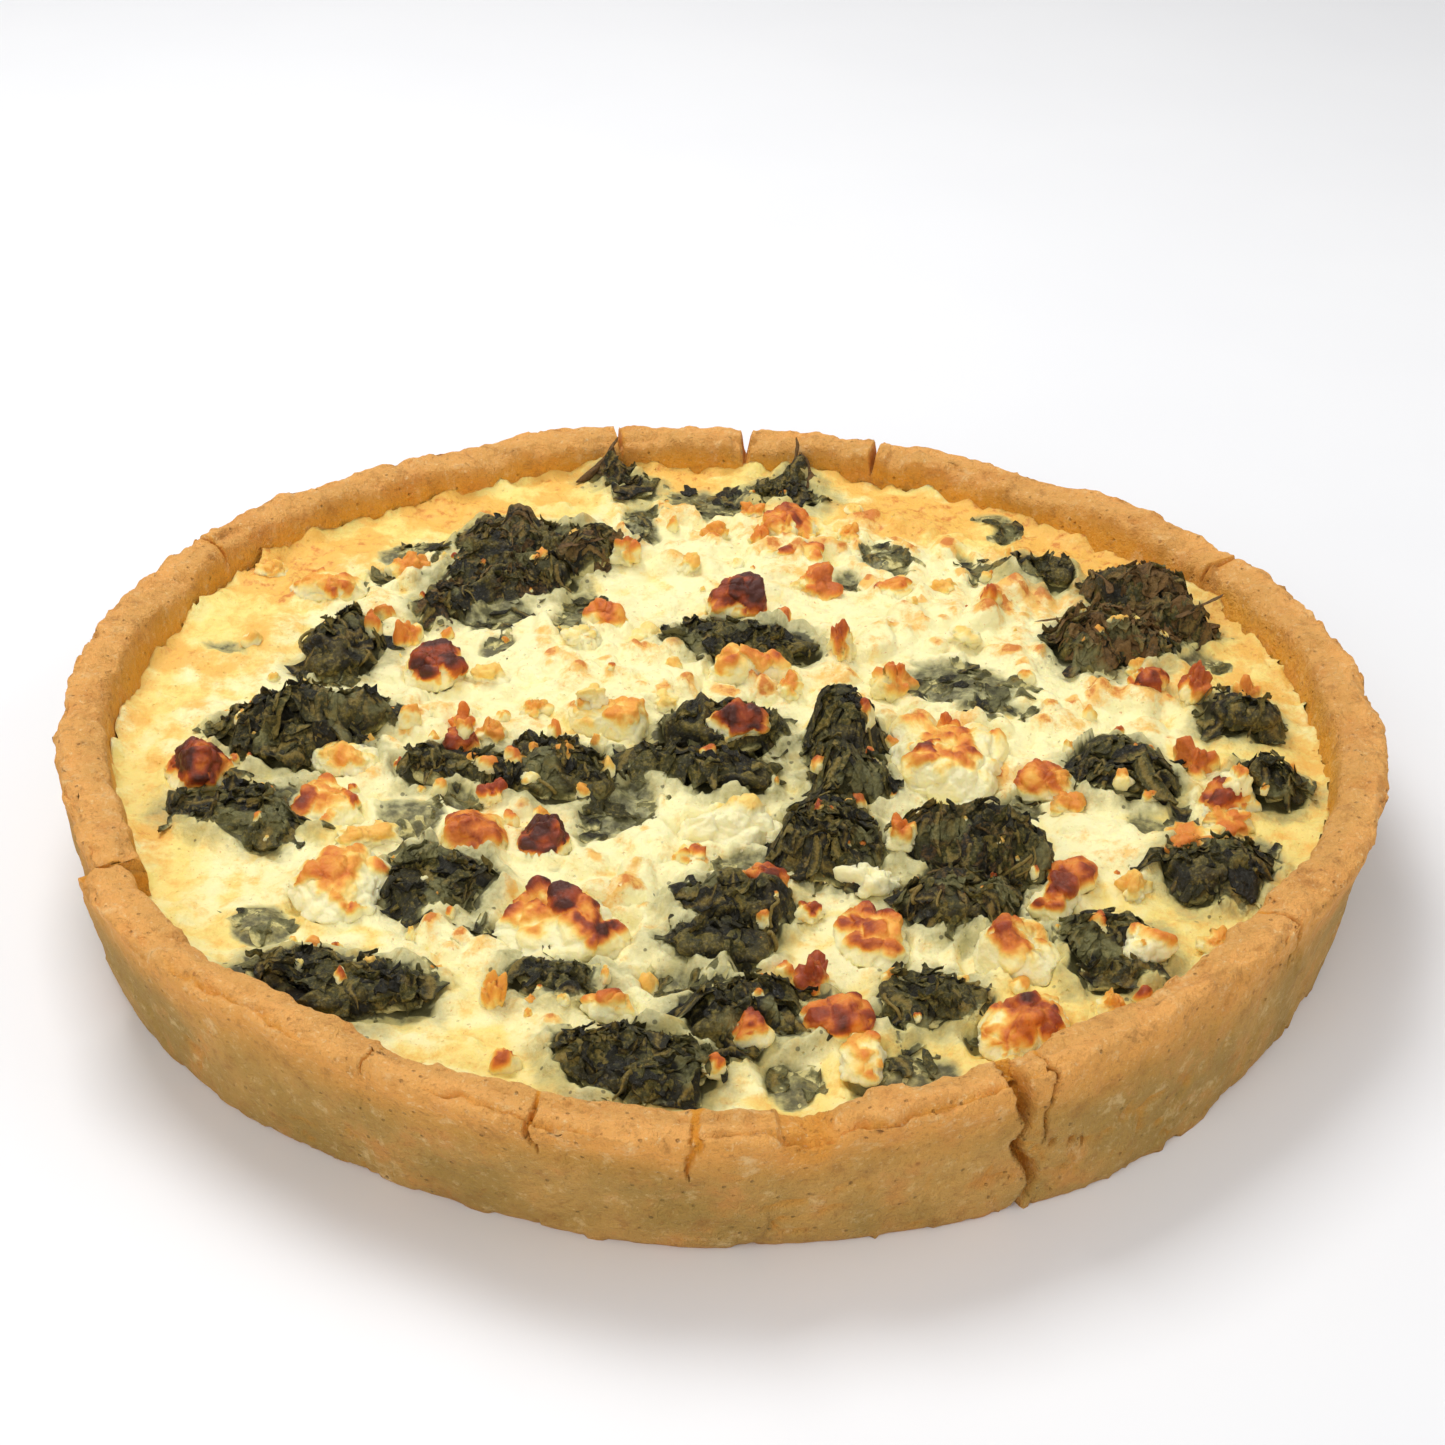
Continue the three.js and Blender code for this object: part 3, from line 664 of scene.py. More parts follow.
def heightRaster(names):
    # the highest point of the named solids over each cell of a square raster
    top = np.zeros((rasterCount, rasterCount))
    for triangle in np.concatenate([solids[name] for name in names]):
        low = np.floor((triangle.min(0)[:2] + raster["half"]) / raster["step"]).astype(int)
        high = np.ceil((triangle.max(0)[:2] + raster["half"]) / raster["step"]).astype(int) + 1
        x, y = np.meshgrid(*(np.arange(low[k], high[k]) * raster["step"] - raster["half"] for k in (0, 1)))
        a, b = triangle[1] - triangle[0], triangle[2] - triangle[0]
        area = a[0] * b[1] - a[1] * b[0]
        if abs(area) < 1e-9:
            continue
        dx, dy = x - triangle[0, 0], y - triangle[0, 1]
        u = (dx * b[1] - dy * b[0]) / area
        v = (a[0] * dy - a[1] * dx) / area
        z = np.where((u >= 0) & (v >= 0) & (u + v <= 1), triangle[0, 2] + u * a[2] + v * b[2], 0)
        part = top[low[1]:high[1], low[0]:high[0]]
        np.maximum(part, z, out=part)
    return top


def distanceRaster(inside, reach):
    # the distance from each cell to the nearest inside cell, grown one ring of cells at a time
    away = np.where(inside, 0.0, reach)
    steps = [(j, i, math.hypot(i, j) * raster["step"]) for j in (-1, 0, 1) for i in (-1, 0, 1) if i or j]
    for _ in range(int(reach / raster["step"]) + 1):
        for j, i, length in steps:
            away = np.minimum(away, np.roll(away, (j, i), (0, 1)) + length)
    return away


def signedDistance(inside, reach):
    # positive outside the marked cells, negative inside them
    return distanceRaster(inside, reach) - distanceRaster(~inside, reach)


def readRaster(values, x, y):
    # blends the four cells round each place
    column = np.clip((x + raster["half"]) / raster["step"], 0, rasterCount - 1.001)
    row = np.clip((y + raster["half"]) / raster["step"], 0, rasterCount - 1.001)
    i, j = column.astype(int), row.astype(int)
    u, v = column - i, row - j
    lower = values[j, i] * (1 - u) + values[j, i + 1] * u
    upper = values[j + 1, i] * (1 - u) + values[j + 1, i + 1] * u
    return lower * (1 - v) + upper * v


rasterX, rasterY = np.meshgrid(*[np.arange(rasterCount) * raster["step"] - raster["half"]] * 2)
rasterLevel = fillingTop(rasterX, rasterY)
# power of the clump's height (below 1 blunt, above 1 a spire), dryness, share of ragged bits, number of stems
clumpRows = {
    "usual": (0.85, 0.05, 1.0, 0), "tall": (0.72, 0.3, 2.2, 0), "right_mid": (0.95, 0.5, 2.2, 9),
    "dried": (0.85, 1.0, 2.4, 16), "back_wall": (2.1, 0.5, 1.0, 0), "back": (2.1, 0.05, 1.0, 0),
    "back_left": (0.85, 0.6, 1.6, 0), "left": (0.85, 0.35, 1.5, 0), "band": (0.85, 0.05, 1.5, 3),
    "right_front": (0.85, 0.05, 1.6, 0), "front": (0.85, 0.05, 1.5, 4),
    "front_stems": (0.85, 0.05, 1.0, 8), "left_tall": (0.85, 0.05, 1.0, 4),
    "right_low": (0.85, 0.05, 1.0, 4), "front_right": (0.85, 0.05, 1.0, 4),
    "back_right": (0.85, 0.05, 1.0, 3), "mid_front": (0.85, 0.05, 1.0, 3),
}
clumpDents = dict(size=6.2, depth=0.42, seed=611)


def clumpRow(name):
    # the clump's own row, or the usual one
    return clumpRows.get(name.removeprefix("spinach_"), clumpRows["usual"])


def shapeClump(name, x, y, height, ground, peak):
    # the height over the ground as a share of the peak, raised to the clump's power and cut down in dents
    share = np.clip((height - ground) / (peak - ground), 0, 1) ** clumpRow(name)[0]
    dents = ease(-0.15, 0.6, layeredNoise(flatPoints(x, y), clumpDents["size"], 2, clumpDents["seed"]))
    shaped = ground + (peak - ground) * share * (1 - clumpDents["depth"] * dents)
    return np.where(height > ground, shaped, height)


clumpPeaks = {name: solids[name][..., 2].max() for name in spinachNodes}
clumpTops = {name: shapeClump(name, rasterX, rasterY, heightRaster([name]), rasterLevel, clumpPeaks[name])
             for name in spinachNodes}
spinachTop = np.max(list(clumpTops.values()), 0)
fetaTop = heightRaster(fetaNodes)
toppingTop = np.maximum(spinachTop, fetaTop)
spinachAway = signedDistance(spinachTop > rasterLevel + 0.2, 9.0)
toppingAway = signedDistance(toppingTop > rasterLevel + 0.2, 6.0)
fetaAway = signedDistance((fetaTop > rasterLevel + 0.2) & (fetaTop > spinachTop), 6.0)
print("toppings mapped")

# the custard
custardShape = dict(
    rings=160, columns=606, knob=7.5, knobHeight=2.9, curd=4.4, curdHeight=1.7,
    lapHeight=2.8, sink=2.6, down=1.3,
    sides=[(0.96, 6.4), (0.985, 15)],  # share of the edge's radius, height
    thinLeaf=[  # x, y, width, depth, turn: spinach that lies flat in the custard
        (53, 18, 30, 23, -55), (-56, 46, 29, 17, -4), (-20, -32, 32, 12, 64), (-5, 102, 19, 16, -14),
        (-19, 87, 24, 9, -86), (-58, -35, 18, 13, -62), (33, -108, 20, 14, 60), (-32, 46, 23, 8, 78),
        (36, 74, 15, 10, -70), (-71, 70, 18, 9, 28), (-81, -71, 12, 10, -89), (56, 74, 16, 4, -68),
        (84, -31, 11, 8, -44), (13, -110, 12, 9, -45), (90, -25, 13, 5, 76), (105, -37, 9, 5, -64),
        (28, 66, 8, 6, 88), (65, 91, 10, 6, -88), (-50, -28, 7, 6, 64), (-48, 30, 8, 6, 46),
        (-104, 28, 15, 6, -20), (-76, 60, 7, 7, 0), (61, 97, 8, 7, 0), (103, 34, 10, 8, -30),
        (-41, -71, 12, 8, -20), (8, -46, 16, 8, 0), (-8, -84, 12, 9, 0), (58, -24, 10, 7, 0),
        (-28, -16, 14, 8, 0),
    ],
    browned=[  # x, y, width, depth
        (84, 73, 40, 48), (43, 99, 36, 22), (-20, 110, 50, 12), (-62, 92, 24, 18), (-96, 62, 22, 34),
        (100, -40, 16, 20), (-106, -42, 10, 16),
    ],
)


def thinLeafShare(x, y):
    # 1 inside the listed patches, with an edge torn by noise
    torn = 0.8 * layeredNoise(flatPoints(x, y), 7, 4, 137)
    share = 0 * x
    for patch in custardShape["thinLeaf"]:
        share = np.maximum(share, ease(1.5, 0.6, patchAway(x, y, patch) + torn))
    return share


def roundCurds(points, size, half, share, seed):
    # half balls round the cell centres, only where the cell's own number is in the upper share
    away, _, number = curdNoise(points * [1, 1, 0], size, seed)
    return np.sqrt(np.clip(1 - (away / half) ** 2, 0, 1)) * ease(*share, number)


def custardSurface(x, y):
    # the filling's top: curds, round knobs, melted edges round the toppings, a lap over parts of the clumps'
    # edges and a fringe where it meets the wall
    flat = flatPoints(x, y)
    fromWall = roomRadius(np.arctan2(y, x)) - np.hypot(x, y)
    near = np.maximum(readRaster(toppingAway, x, y), 0)
    leafNear = readRaster(spinachAway, x, y)
    bent = flat + 1.3 * noiseShift(flat, 5, 103)
    leaf = 0.8 * ease(1.6, 0.0, leafNear + 1.8 * layeredNoise(flat, 5, 3, 131))
    leaf = np.maximum(thinLeafShare(x, y), leaf)
    curdy = 0.35 + 0.65 * ease(-0.45, 0.2, smoothNoise(flat, 32, 101)) * ease(6, 26, fromWall)
    lumps = curdy * lumpNoise(bent, 9, 3, 107) * (1 - 0.7 * leaf)
    bare = 1 - 0.8 * leaf
    knob = roundCurds(bent, custardShape["knob"], 0.62, (-0.1, 0.9), 111) * curdy * bare
    curd = roundCurds(bent, custardShape["curd"], 0.6, (0.0, 0.8), 115) * curdy * bare
    foam = 0.7 * ease(22, 4, fromWall) * ease(-0.1, 0.7, layeredNoise(flat, 3.4, 3, 151))
    melted = 1.7 * np.exp(-(near / 2.2) ** 1.5) * (0.7 + 0.6 * smoothNoise(flat, 4, 113)) * (1 - 0.7 * leaf)
    lap = custardShape["lapHeight"] * ease(-4.4, -0.8, leafNear) * ease(4.6, 0.0, leafNear)
    lap = lap * ease(-0.15, 0.5, layeredNoise(flat, 8, 3, 117))
    fetaNear = readRaster(fetaAway, x, y) + 0.6 * smoothNoise(flat, 3, 119)
    sunk = custardShape["sink"] * ease(0.2, -2.4, fetaNear)
    fringe = (1.3 + 1.9 * layeredNoise(flat, 4.2, 3, 127)) * np.exp(-(fromWall / 1.8) ** 1.5)
    relief = 0.45 * layeredNoise(flat, 11, 3, 109) + foam - 0.5 * leaf
    z = fillingTop(x, y) - custardShape["down"] + relief + 1.2 * lumps + custardShape["knobHeight"] * knob
    z = z + melted + fringe + lap - sunk + custardShape["curdHeight"] * curd
    veil = np.maximum(0.85 * leaf, 0.62 * ease(9, 1, leafNear + 3 * smoothNoise(flat, 6, 133)))
    thin = ease(1.9, 0.1, z - readRaster(spinachTop, x, y) + 0.9 * smoothNoise(flat, 2.6, 135))
    veil = np.maximum(veil, 1.15 * thin * ease(0.4, -0.8, leafNear))
    browned = ease(34, 6, fromWall) * ease(-0.35, 0.5, layeredNoise(flat, 13, 3, 139))
    browned = browned * (0.2 + 0.8 * ease(-60, 40, y))
    torn = 0.8 * layeredNoise(flat, 9, 3, 143)
    for patch in custardShape["browned"]:
        browned = np.maximum(browned, ease(1.6, 0.5, patchAway(x, y, (*patch, 0)) + torn))
    bake = 0.5 * ease(1.1, 1.7, lumps) + 1.3 * ease(0.66, 1.0, knob) + 1.1 * ease(0.6, 0.95, curd)
    bake = bake + 0.85 * browned - veil
    rim = ease(40, 8, fromWall) * (0.8 + 0.4 * smoothNoise(flat, 16, 149))
    # the rim mark also rises where the lumps are low, so the hollows between lumps come out yellower: painted
    # shade
    rim = rim * (0.55 + 0.45 * ease(-110, -20, x + y)) + 0.5 * ease(0.5, 0.1, lumps)
    return z, dict(rim=rim, veil=np.clip(veil, 0, 1.1), bake=np.clip(bake, 0, 1.3)), lap


def makeCustardTop():
    # polar rings from the wall to the middle, and a side and underside that stay inside the case
    angle = ringAngles(custardShape["columns"])[None, :]
    inward = np.linspace(1, 0, custardShape["rings"] + 1)[:-1, None] ** 0.9
    wall = roomRadius(angle)
    x, y = inward * wall * np.cos(angle), inward * wall * np.sin(angle)
    z, marks, _ = custardSurface(x, y)
    rings = np.stack([x, y, z], -1)
    edge = rings[:1] * [1, 1, 0]
    sides = np.concatenate([edge * share + [0, 0, height] for share, height in custardShape["sides"]])
    marks = {key: np.concatenate([0 * sides[..., 0], values]) for key, values in marks.items()}
    shell = (np.concatenate([sides, rings]), (0, 0, custardShape["sides"][0][1]), (0, 0, z[-1].mean()), marks)
    makePiece("custard", [shell], custard, ["filling"])


makeCustardTop()
custardTop, _, custardLap = custardSurface(rasterX, rasterY)
print("custard made")

# lumps grown from the solids


def lumpRings(triangles, sunk, spacing):
    # ways spread evenly over an ellipsoid of the solid's own size, each as long as the solid reaches
    low, high = triangles.reshape(-1, 3).min(0), triangles.reshape(-1, 3).max(0)
    centre = (low + high) / 2
    centre[2] = low[2] + sunk
    half = (high - low) / 2
    half[2] = high[2] - centre[2]
    columns = max(36, int(math.pi * (half[0] + half[1]) / spacing))
    rows = max(14, int(1.6 * (half[:2].mean() + half[2]) / 1.5 / spacing))
    slope = np.concatenate([np.linspace(-1.2, -0.15, 4), np.linspace(-0.08, math.pi / 2, rows + 1)[:-1]])
    ball = ballPoints(slope[:, None], ringAngles(columns))
    ways = ball * half
    length = np.linalg.norm(ways, axis=-1)
    ways = ways / length[..., None]
    reach = rayReach(triangles, centre, ways)
    reach = blurRings(np.where(reach > 0, reach, 0.5 * length), 7)
    out = ball / half
    out = out / np.linalg.norm(out, axis=-1)[..., None]
    return centre, ways, reach, out


topLimit = dict(below=0.9, spread=1.5)


def underTop(points):
    # heights near and past the tallest solid flatten off, so that nothing stands far over it
    start = cadBox[1][2] / mm - topLimit["below"]
    over = np.maximum(points[..., 2] - start, 0)
    height = np.minimum(points[..., 2], start) + topLimit["spread"] * (1 - np.exp(-over / topLimit["spread"]))
    return np.concatenate([points[..., :2], height[..., None]], -1)


def closeLump(rings, marks):
    return rings, rings[0].mean(0) - [0, 0, 0.3], rings[-1].mean(0), marks


def closeTubes(rings, marks):
    return rings, rings[:, 0].mean(1), rings[:, -1].mean(1), marks


leafShape = dict(
    rings=11, columns=12,
    broad=dict(length=(5, 12.5), halfWidth=(1.1, 3.0), lift=(-0.4, 0.9), curl=(-0.9, 0.7), ripple=0.6,
               perArea=0.09),
    bits=dict(length=(2.4, 6.5), halfWidth=(0.35, 1.2), lift=(-0.2, 1.3), curl=(-0.5, 1.1), ripple=0.8,
              perArea=0.11),
    flat=dict(length=(4, 11), halfWidth=(0.8, 2.3), lift=(-0.7, 0.35), curl=(-0.9, 0.3), ripple=0.6,
              perArea=0.09),
)
leafGround = blurRings(np.maximum(custardTop - custardLap, spinachTop - 0.6), 3)


def drapedLeaves(x, y, kind, seed, dryness):
    # many pieces of leaf at once, each a flat tube along a bent path with an uneven outline, torn by noise,
    # that lies on the custard and clumps below it, lifted, rippled by sharp folds and curled at its edges
    rule = leafShape[kind]
    draw = np.random.default_rng(seed)
    count = len(x)

    def pick(low, high):
        return draw.uniform(low, high, (count, 1, 1))

    s = np.linspace(-0.97, 0.97, leafShape["rings"])[None, :, None]
    turn = ringAngles(leafShape["columns"])[None, None, :]
    flow = fullTurn * smoothNoise(flatPoints(x, y), 20, seed + 1) + draw.normal(0, 0.9, count)
    heading = flow[:, None, None]
    length = pick(*rule["length"])
    half = pick(*rule["halfWidth"]) * (1 - s * s) ** 0.4 * (1 + 0.35 * np.sin(pick(3, 7) * s + pick(0, 6)))
    u = s * length / 2
    v = np.cos(turn) * half + pick(-0.25, 0.25) * length * s * s
    px = x[:, None, None] + u * np.cos(heading) - v * np.sin(heading)
    py = y[:, None, None] + u * np.sin(heading) + v * np.cos(heading)
    spots = np.stack([px, py, 0 * px + pick(0, 60)], -1)
    torn = 0.9 * noiseShift(spots, 3.0, seed + 2) + 0.4 * noiseShift(spots, 1.1, seed + 5)
    spots = spots + torn * [1, 1, 0]
    px, py = spots[..., 0], spots[..., 1]
    keep = np.minimum(1, (roomRadius(np.arctan2(py, px)) - 0.6) / np.hypot(px, py))
    px, py = px * keep, py * keep
    ripple = rule["ripple"] * foldNoise(spots, 3.2, 2, seed + 8)
    lift = pick(*rule["lift"]) + pick(*rule["curl"]) * (np.cos(turn) ** 2 + s * s) + ripple
    z = readRaster(leafGround, px, py) + lift + np.sin(turn) * pick(0.12, 0.26)
    rings = underTop(np.stack([px, py, z], -1))
    above = z - readRaster(custardTop, px, py)
    blank = 0 * z
    # the tone mark is random for each leaf, plus a painted highlight that lightens the crests of the ripples
    marks = dict(lap=filmOver(rings, ease(1.3, -0.4, above + 0.9 * smoothNoise(rings, 2.5, seed + 14))),
                 dry=blank + dryness * pick(0.2, 1), tone=pick(0, 0.9) + 0.25 * ripple,
                 vein=np.exp(-(np.cos(turn) * half / 0.3) ** 2) * (pick(0, 1) > 0.6) * 0.6)
    return closeTubes(rings, marks)


def filmOver(points, low):
    # custard film on leaf: all over the low parts, and in thin patches higher up
    return np.maximum(low, 0.62 * ease(0.2, 0.6, layeredNoise(points, 8, 2, 2100)))


def leafSpots(crowd, kind, draw):
    # places drawn at random where a raster of crowding says, as many as the leaf kind asks for each square mm
    count = int(crowd.sum() * raster["step"] ** 2 * leafShape[kind]["perArea"])
    chosen = draw.choice(crowd.size, count, p=(crowd / crowd.sum()).ravel())
    return [part.ravel()[chosen] + draw.uniform(-0.3, 0.3, count) for part in (rasterX, rasterY)]


def leafStems(points, out, count, seed, dryness):
    # thin round stems that wander over the clump, each along a smoothed walk across its grid of points
    draw = np.random.default_rng(seed)
    s = np.linspace(0, 1, 16)[None, :]
    rows, columns = points.shape[:2]
    start = draw.uniform(0, columns, (count, 1))
    column = start + s * columns * draw.uniform(-0.16, 0.16, (count, 1))
    row = rows * (draw.uniform(0.35, 0.6, (count, 1)) + draw.uniform(-0.3, 0.3, (count, 1)) * (s - 0.5)
                  + 0.05 * np.sin(6 * s + draw.uniform(0, 6, (count, 1))))
    row, column = np.clip(row, 4, rows - 2).astype(int), column.astype(int) % columns
    path = points[row, column] + out[row, column] * (0.3 + 0.5 * np.sin(s * math.pi))[..., None]
    for _ in range(3):
        padded = np.concatenate([path[:, :1], path, path[:, -1:]], 1)
        path = (padded[:, :-2] + 2 * path + padded[:, 2:]) / 4
    along = np.gradient(path, axis=1)
    along /= np.linalg.norm(along, axis=2)[..., None] + 1e-9
    lift = np.cross(along, [0.2, 0.1, 1.0])
    lift /= np.linalg.norm(lift, axis=2)[..., None] + 1e-9
    side = np.cross(lift, along)
    turn = ringAngles(7)[None, None, :, None]
    thick = draw.uniform(0.2, 0.42, (count, 1, 1, 1))
    rings = path[:, :, None] + thick * (np.cos(turn) * side[:, :, None] + np.sin(turn) * lift[:, :, None])
    blank = np.zeros(rings.shape[:3])
    vein = blank + draw.uniform(0.5, 1, (count, 1, 1))
    marks = dict(lap=blank, dry=blank + 0.6 * dryness, vein=vein, tone=blank + 1)
    return rings, path[:, 0], path[:, -1], marks


spinachShape = dict(
    sunk=4.7, spacing=0.75, folds=[(9, 1.3), (4, 0.9), (1.6, 0.34)],  # size, height
    spikes={  # foot, tip, width
        "back_wall": [((-34, 111, 24), (-26.5, 118, 32.2), 5), ((-28, 110, 24), (-27.5, 117, 30), 4)],
        "back": [((14, 112, 24), (16.4, 119, 33), 4), ((20, 111, 24), (17.5, 117, 30), 3)],
        "dried": [((77, 47, 26.5), (67, 42, 27.5), 2.2), ((80, 40, 27), (71, 33, 28), 2.2),
                  ((98, 42, 30), (108, 47, 33), 2.6), ((84, 50, 31), (80, 56, 33.4), 2.4)],
        "back_left": [((-36, 66, 30), (-27, 68, 31), 3)],
    },
)


def leafSpikes(rows):
    # a flat leaf tip for each row, that narrows along a path which bows a little and twists
    foot, tip, width = (np.array([row[k] for row in rows], float) for k in range(3))
    s = np.linspace(0, 1, 18)[None, :, None]
    turn = ringAngles(10)[None, None, :]
    path = foot[:, None] + (tip - foot)[:, None] * s + [0.9, 0.3, 0] * np.sin(s * math.pi)
    half = width[:, None, None] / 2 * (1 - s) ** 0.7 * (1 + 0.3 * np.sin(9 * s))
    flat = 0.8 + 1.1 * s
    side = np.stack([np.cos(flat), np.sin(flat), 0 * flat], -1)
    through = np.stack([-np.sin(flat), np.cos(flat), 0 * flat], -1)
    rings = path[:, :, None] + half[..., None] * np.cos(turn)[..., None] * side
    rings = rings - (0.35 * half + 0.12)[..., None] * np.sin(turn)[..., None] * through
    rings = rings + 0.25 * noiseShift(rings, 1.6, 97)
    blank = np.zeros(rings.shape[:3])
    return closeTubes(rings, dict(lap=blank, dry=blank + 0.7, vein=blank, tone=blank))


def makeSpinachClump(name, seed):
    # folds and wrinkles push the smoothed solid in and out, and its foot is drawn in unevenly
    rule, short = spinachShape, name.removeprefix("spinach_")
    draw = np.random.default_rng(seed)
    centre, ways, reach, out = lumpRings(solids[name], rule["sunk"], rule["spacing"])
    base = centre + ways * reach[..., None]
    ground = fillingTop(base[..., 0], base[..., 1])
    base[..., 2] = shapeClump(name, base[..., 0], base[..., 1], base[..., 2], ground, clumpPeaks[name])
    low = ease(3.6, 0.4, base[..., 2] - ground)
    drawn = low * np.clip(1.0 + 2.6 * layeredNoise(base * [1, 1, 0.3], 9, 2, seed + 2), -1.4, 2.2)
    base = base - out * [1, 1, 0] * drawn[..., None]
    bent = base + 1.4 * noiseShift(base, 5, seed)
    fold = [height * foldNoise(bent, size, 1, seed + 5 + int(size)) for size, height in rule["folds"]]
    points = underTop(base + out * (sum(fold) - 1.3 + 1.5 * smoothNoise(base, 12, seed + 3))[..., None])
    _, dryness, ragged, stems = clumpRow(name)
    rise = points[..., 2] - fillingTop(points[..., 0], points[..., 1])
    high = rise / max(rise.max(), 1) + 0.5 * smoothNoise(points, 6, seed + 13)
    # the tone mark is partly random and partly a painted highlight that lightens the crests of the 4 mm folds
    marks = dict(lap=filmOver(points, ease(2.8, -0.2, rise + 2.4 * smoothNoise(points, 4.5, seed + 17))),
                 dry=dryness * ease(0.45, 1.1, high),
                 vein=0.15 * ease(0.2, 0.7, fold[1]),
                 tone=0.5 * ease(-0.3, 0.7, fold[1]) + 0.2 + 0.4 * smoothNoise(points, 4, seed + 19))
    shells = [closeLump(points, marks)]

    # broad leaves first, then ragged bits, both a little past the clump's foot
    own = clumpTops[name] > rasterLevel + 0.2
    away = signedDistance(own, 4.0)
    flat = flatPoints(rasterX, rasterY)
    crowd = ease(0.2, -2.2, away + 2.2 * smoothNoise(flat, 7, seed + 21)) * (away < 2)
    shells.append(drapedLeaves(*leafSpots(crowd, "broad", draw), "broad", seed + 23, dryness))
    shells.append(drapedLeaves(*leafSpots(crowd * ragged, "bits", draw), "bits", seed + 27, dryness))
    if stems:
        shells.append(leafStems(points, out, stems, seed + 29, dryness))
    if short in rule["spikes"]:
        shells.append(leafSpikes(rule["spikes"][short]))
    makePiece("leafClump_" + short, shells, spinach, [name])


def makeThinLeaf():
    # flat leaves over the places where spinach shows in the custard itself
    draw = np.random.default_rng(77)
    crowd = ease(0.5, 0.95, thinLeafShare(rasterX, rasterY)) * (toppingTop < rasterLevel)
    crowd = crowd * (np.hypot(rasterX, rasterY) < 116)
    leaves = drapedLeaves(*leafSpots(crowd, "flat", draw), "flat", 79, 0.08)
    makePiece("thinLeaf", [leaves], spinach)


for index, name in enumerate(spinachNodes):
    makeSpinachClump(name, 1000 + 40 * index)
makeThinLeaf()
print("spinach made")

fetaShape = dict(
    sunk=4.2, spacing=0.46, facetsPerLength=0.7, cut=(0.62, 0.96), curd=0.22, curdRelief=0.16, grain=0.34,
    browned={  # roast of the top, share of the lump that it covers
        "usual": (0.66, 0.5), "tall": (1.0, 0.8), "left_wall": (0.92, 1.0), "left_brown": (0.95, 0.7),
        "mid_brown": (1.0, 0.95), "clump_top": (0.88, 1.0), "largest": (1.0, 0.34),
        "back_big": (0.78, 0.5), "front_dark": (0.84, 0.7), "band_red": (0.86, 1.0),
        "right_red": (0.84, 0.95), "mid_red": (0.8, 0.8), "right_big": (0.66, 0.35),
        "front_right": (0.78, 0.6), "mid_right": (0.76, 0.75), "right_pair": (0.78, 0.6),
        "mid_left": (0.72, 0.85), "cream_heap": (0.74, 0.3), "cream_front": (0.22, 0.1),
        "left_mid": (0.45, 0.5), "left_back": (0.62, 0.5), "centre_left": (0.46, 0.5),
        "front_pair": (0.8, 0.85), "right_wall": (0.76, 0.8), "front_long": (0.58, 0.5),
        "right_orange": (0.66, 0.9), "back_point": (0.66, 0.9), "left_front": (0.66, 0.45),
    },
)


def breakFacets(ways, reach, count, draw, cut):
    # flat facets that face random ways: each caps the reach along every way that crosses it, and the caps are
    # blended by a high power so that the edges between them stay a little soft
    facing = draw.normal(0, 1, (count, 3)) + [0, 0, 0.5]
    facing[:, 2] = np.abs(facing[:, 2]) + 0.15
    facing /= np.linalg.norm(facing, axis=1)[:, None]
    toward = ways @ facing.T
    offset = (reach[..., None] * toward).reshape(-1, count).max(0) * draw.uniform(*cut, count)
    return (reach ** -30.0 + ((offset / np.maximum(toward, 0.02)) ** -30.0).sum(-1)) ** (-1 / 30)


def makeFetaLump(name, seed):
    # the smoothed solid is broken into facets, curds and grain roughen it, and its high parts are roasted
    rule, short = fetaShape, name.removeprefix("feta_")
    draw = np.random.default_rng(seed)
    centre, ways, reach, out = lumpRings(solids[name], rule["sunk"], rule["spacing"])
    base = centre + ways * reach[..., None]
    size = (base.reshape(-1, 3).max(0) - base.reshape(-1, 3).min(0))[:2].max()
    reach = breakFacets(ways, reach, 6 + int(rule["facetsPerLength"] * size), draw, rule["cut"])
    base = centre + ways * reach[..., None]
    mostlyFlat = [1, 1, 0.4]
    swell = 0.1 * size * smoothNoise(base * mostlyFlat, 0.34 * size, seed + 2)
    base = base + out * mostlyFlat * swell[..., None]
    bent = base + 0.7 * noiseShift(base, 2.6, seed + 3)
    curd = float(np.clip(rule["curd"] * size, 3, 5.4))
    first, second, number = curdNoise(bent, curd, seed + 5)
    push = rule["curdRelief"] * curd * (0.9 * number + 0.8 * ease(0.0, 0.4, second - first))
    push = push + rule["grain"] * layeredNoise(base, 1.4, 3, seed + 9)
    push = push + 0.45 * smoothNoise(base, 4, seed + 12)
    points = underTop(base + out * push[..., None])
    rise = points[..., 2] - fillingTop(points[..., 0], points[..., 1])
    share = (points[..., 2] - centre[2]) / (points[..., 2].max() - centre[2])
    uneven = 0.3 * layeredNoise(points, 5, 3, seed + 15) + 0.14 * number
    most, cover = rule["browned"].get(short, rule["browned"]["usual"])
    bare = 0.62 - 0.75 * cover
    roast = most * ease(bare, bare + 0.6, share + uneven)
    roast = roast * (0.9 + 0.3 * smoothNoise(points, 2.6, seed + 18)) + 0.12 * ease(0.2, 0.8, push)
    roast = roast * ease(0.2, 2.4, rise)
    makePiece("cheese_" + short, [closeLump(points, dict(roast=roast))], feta, [name])


for index, name in enumerate(fetaNodes):
    makeFetaLump(name, 5000 + 40 * index)
print("feta made")

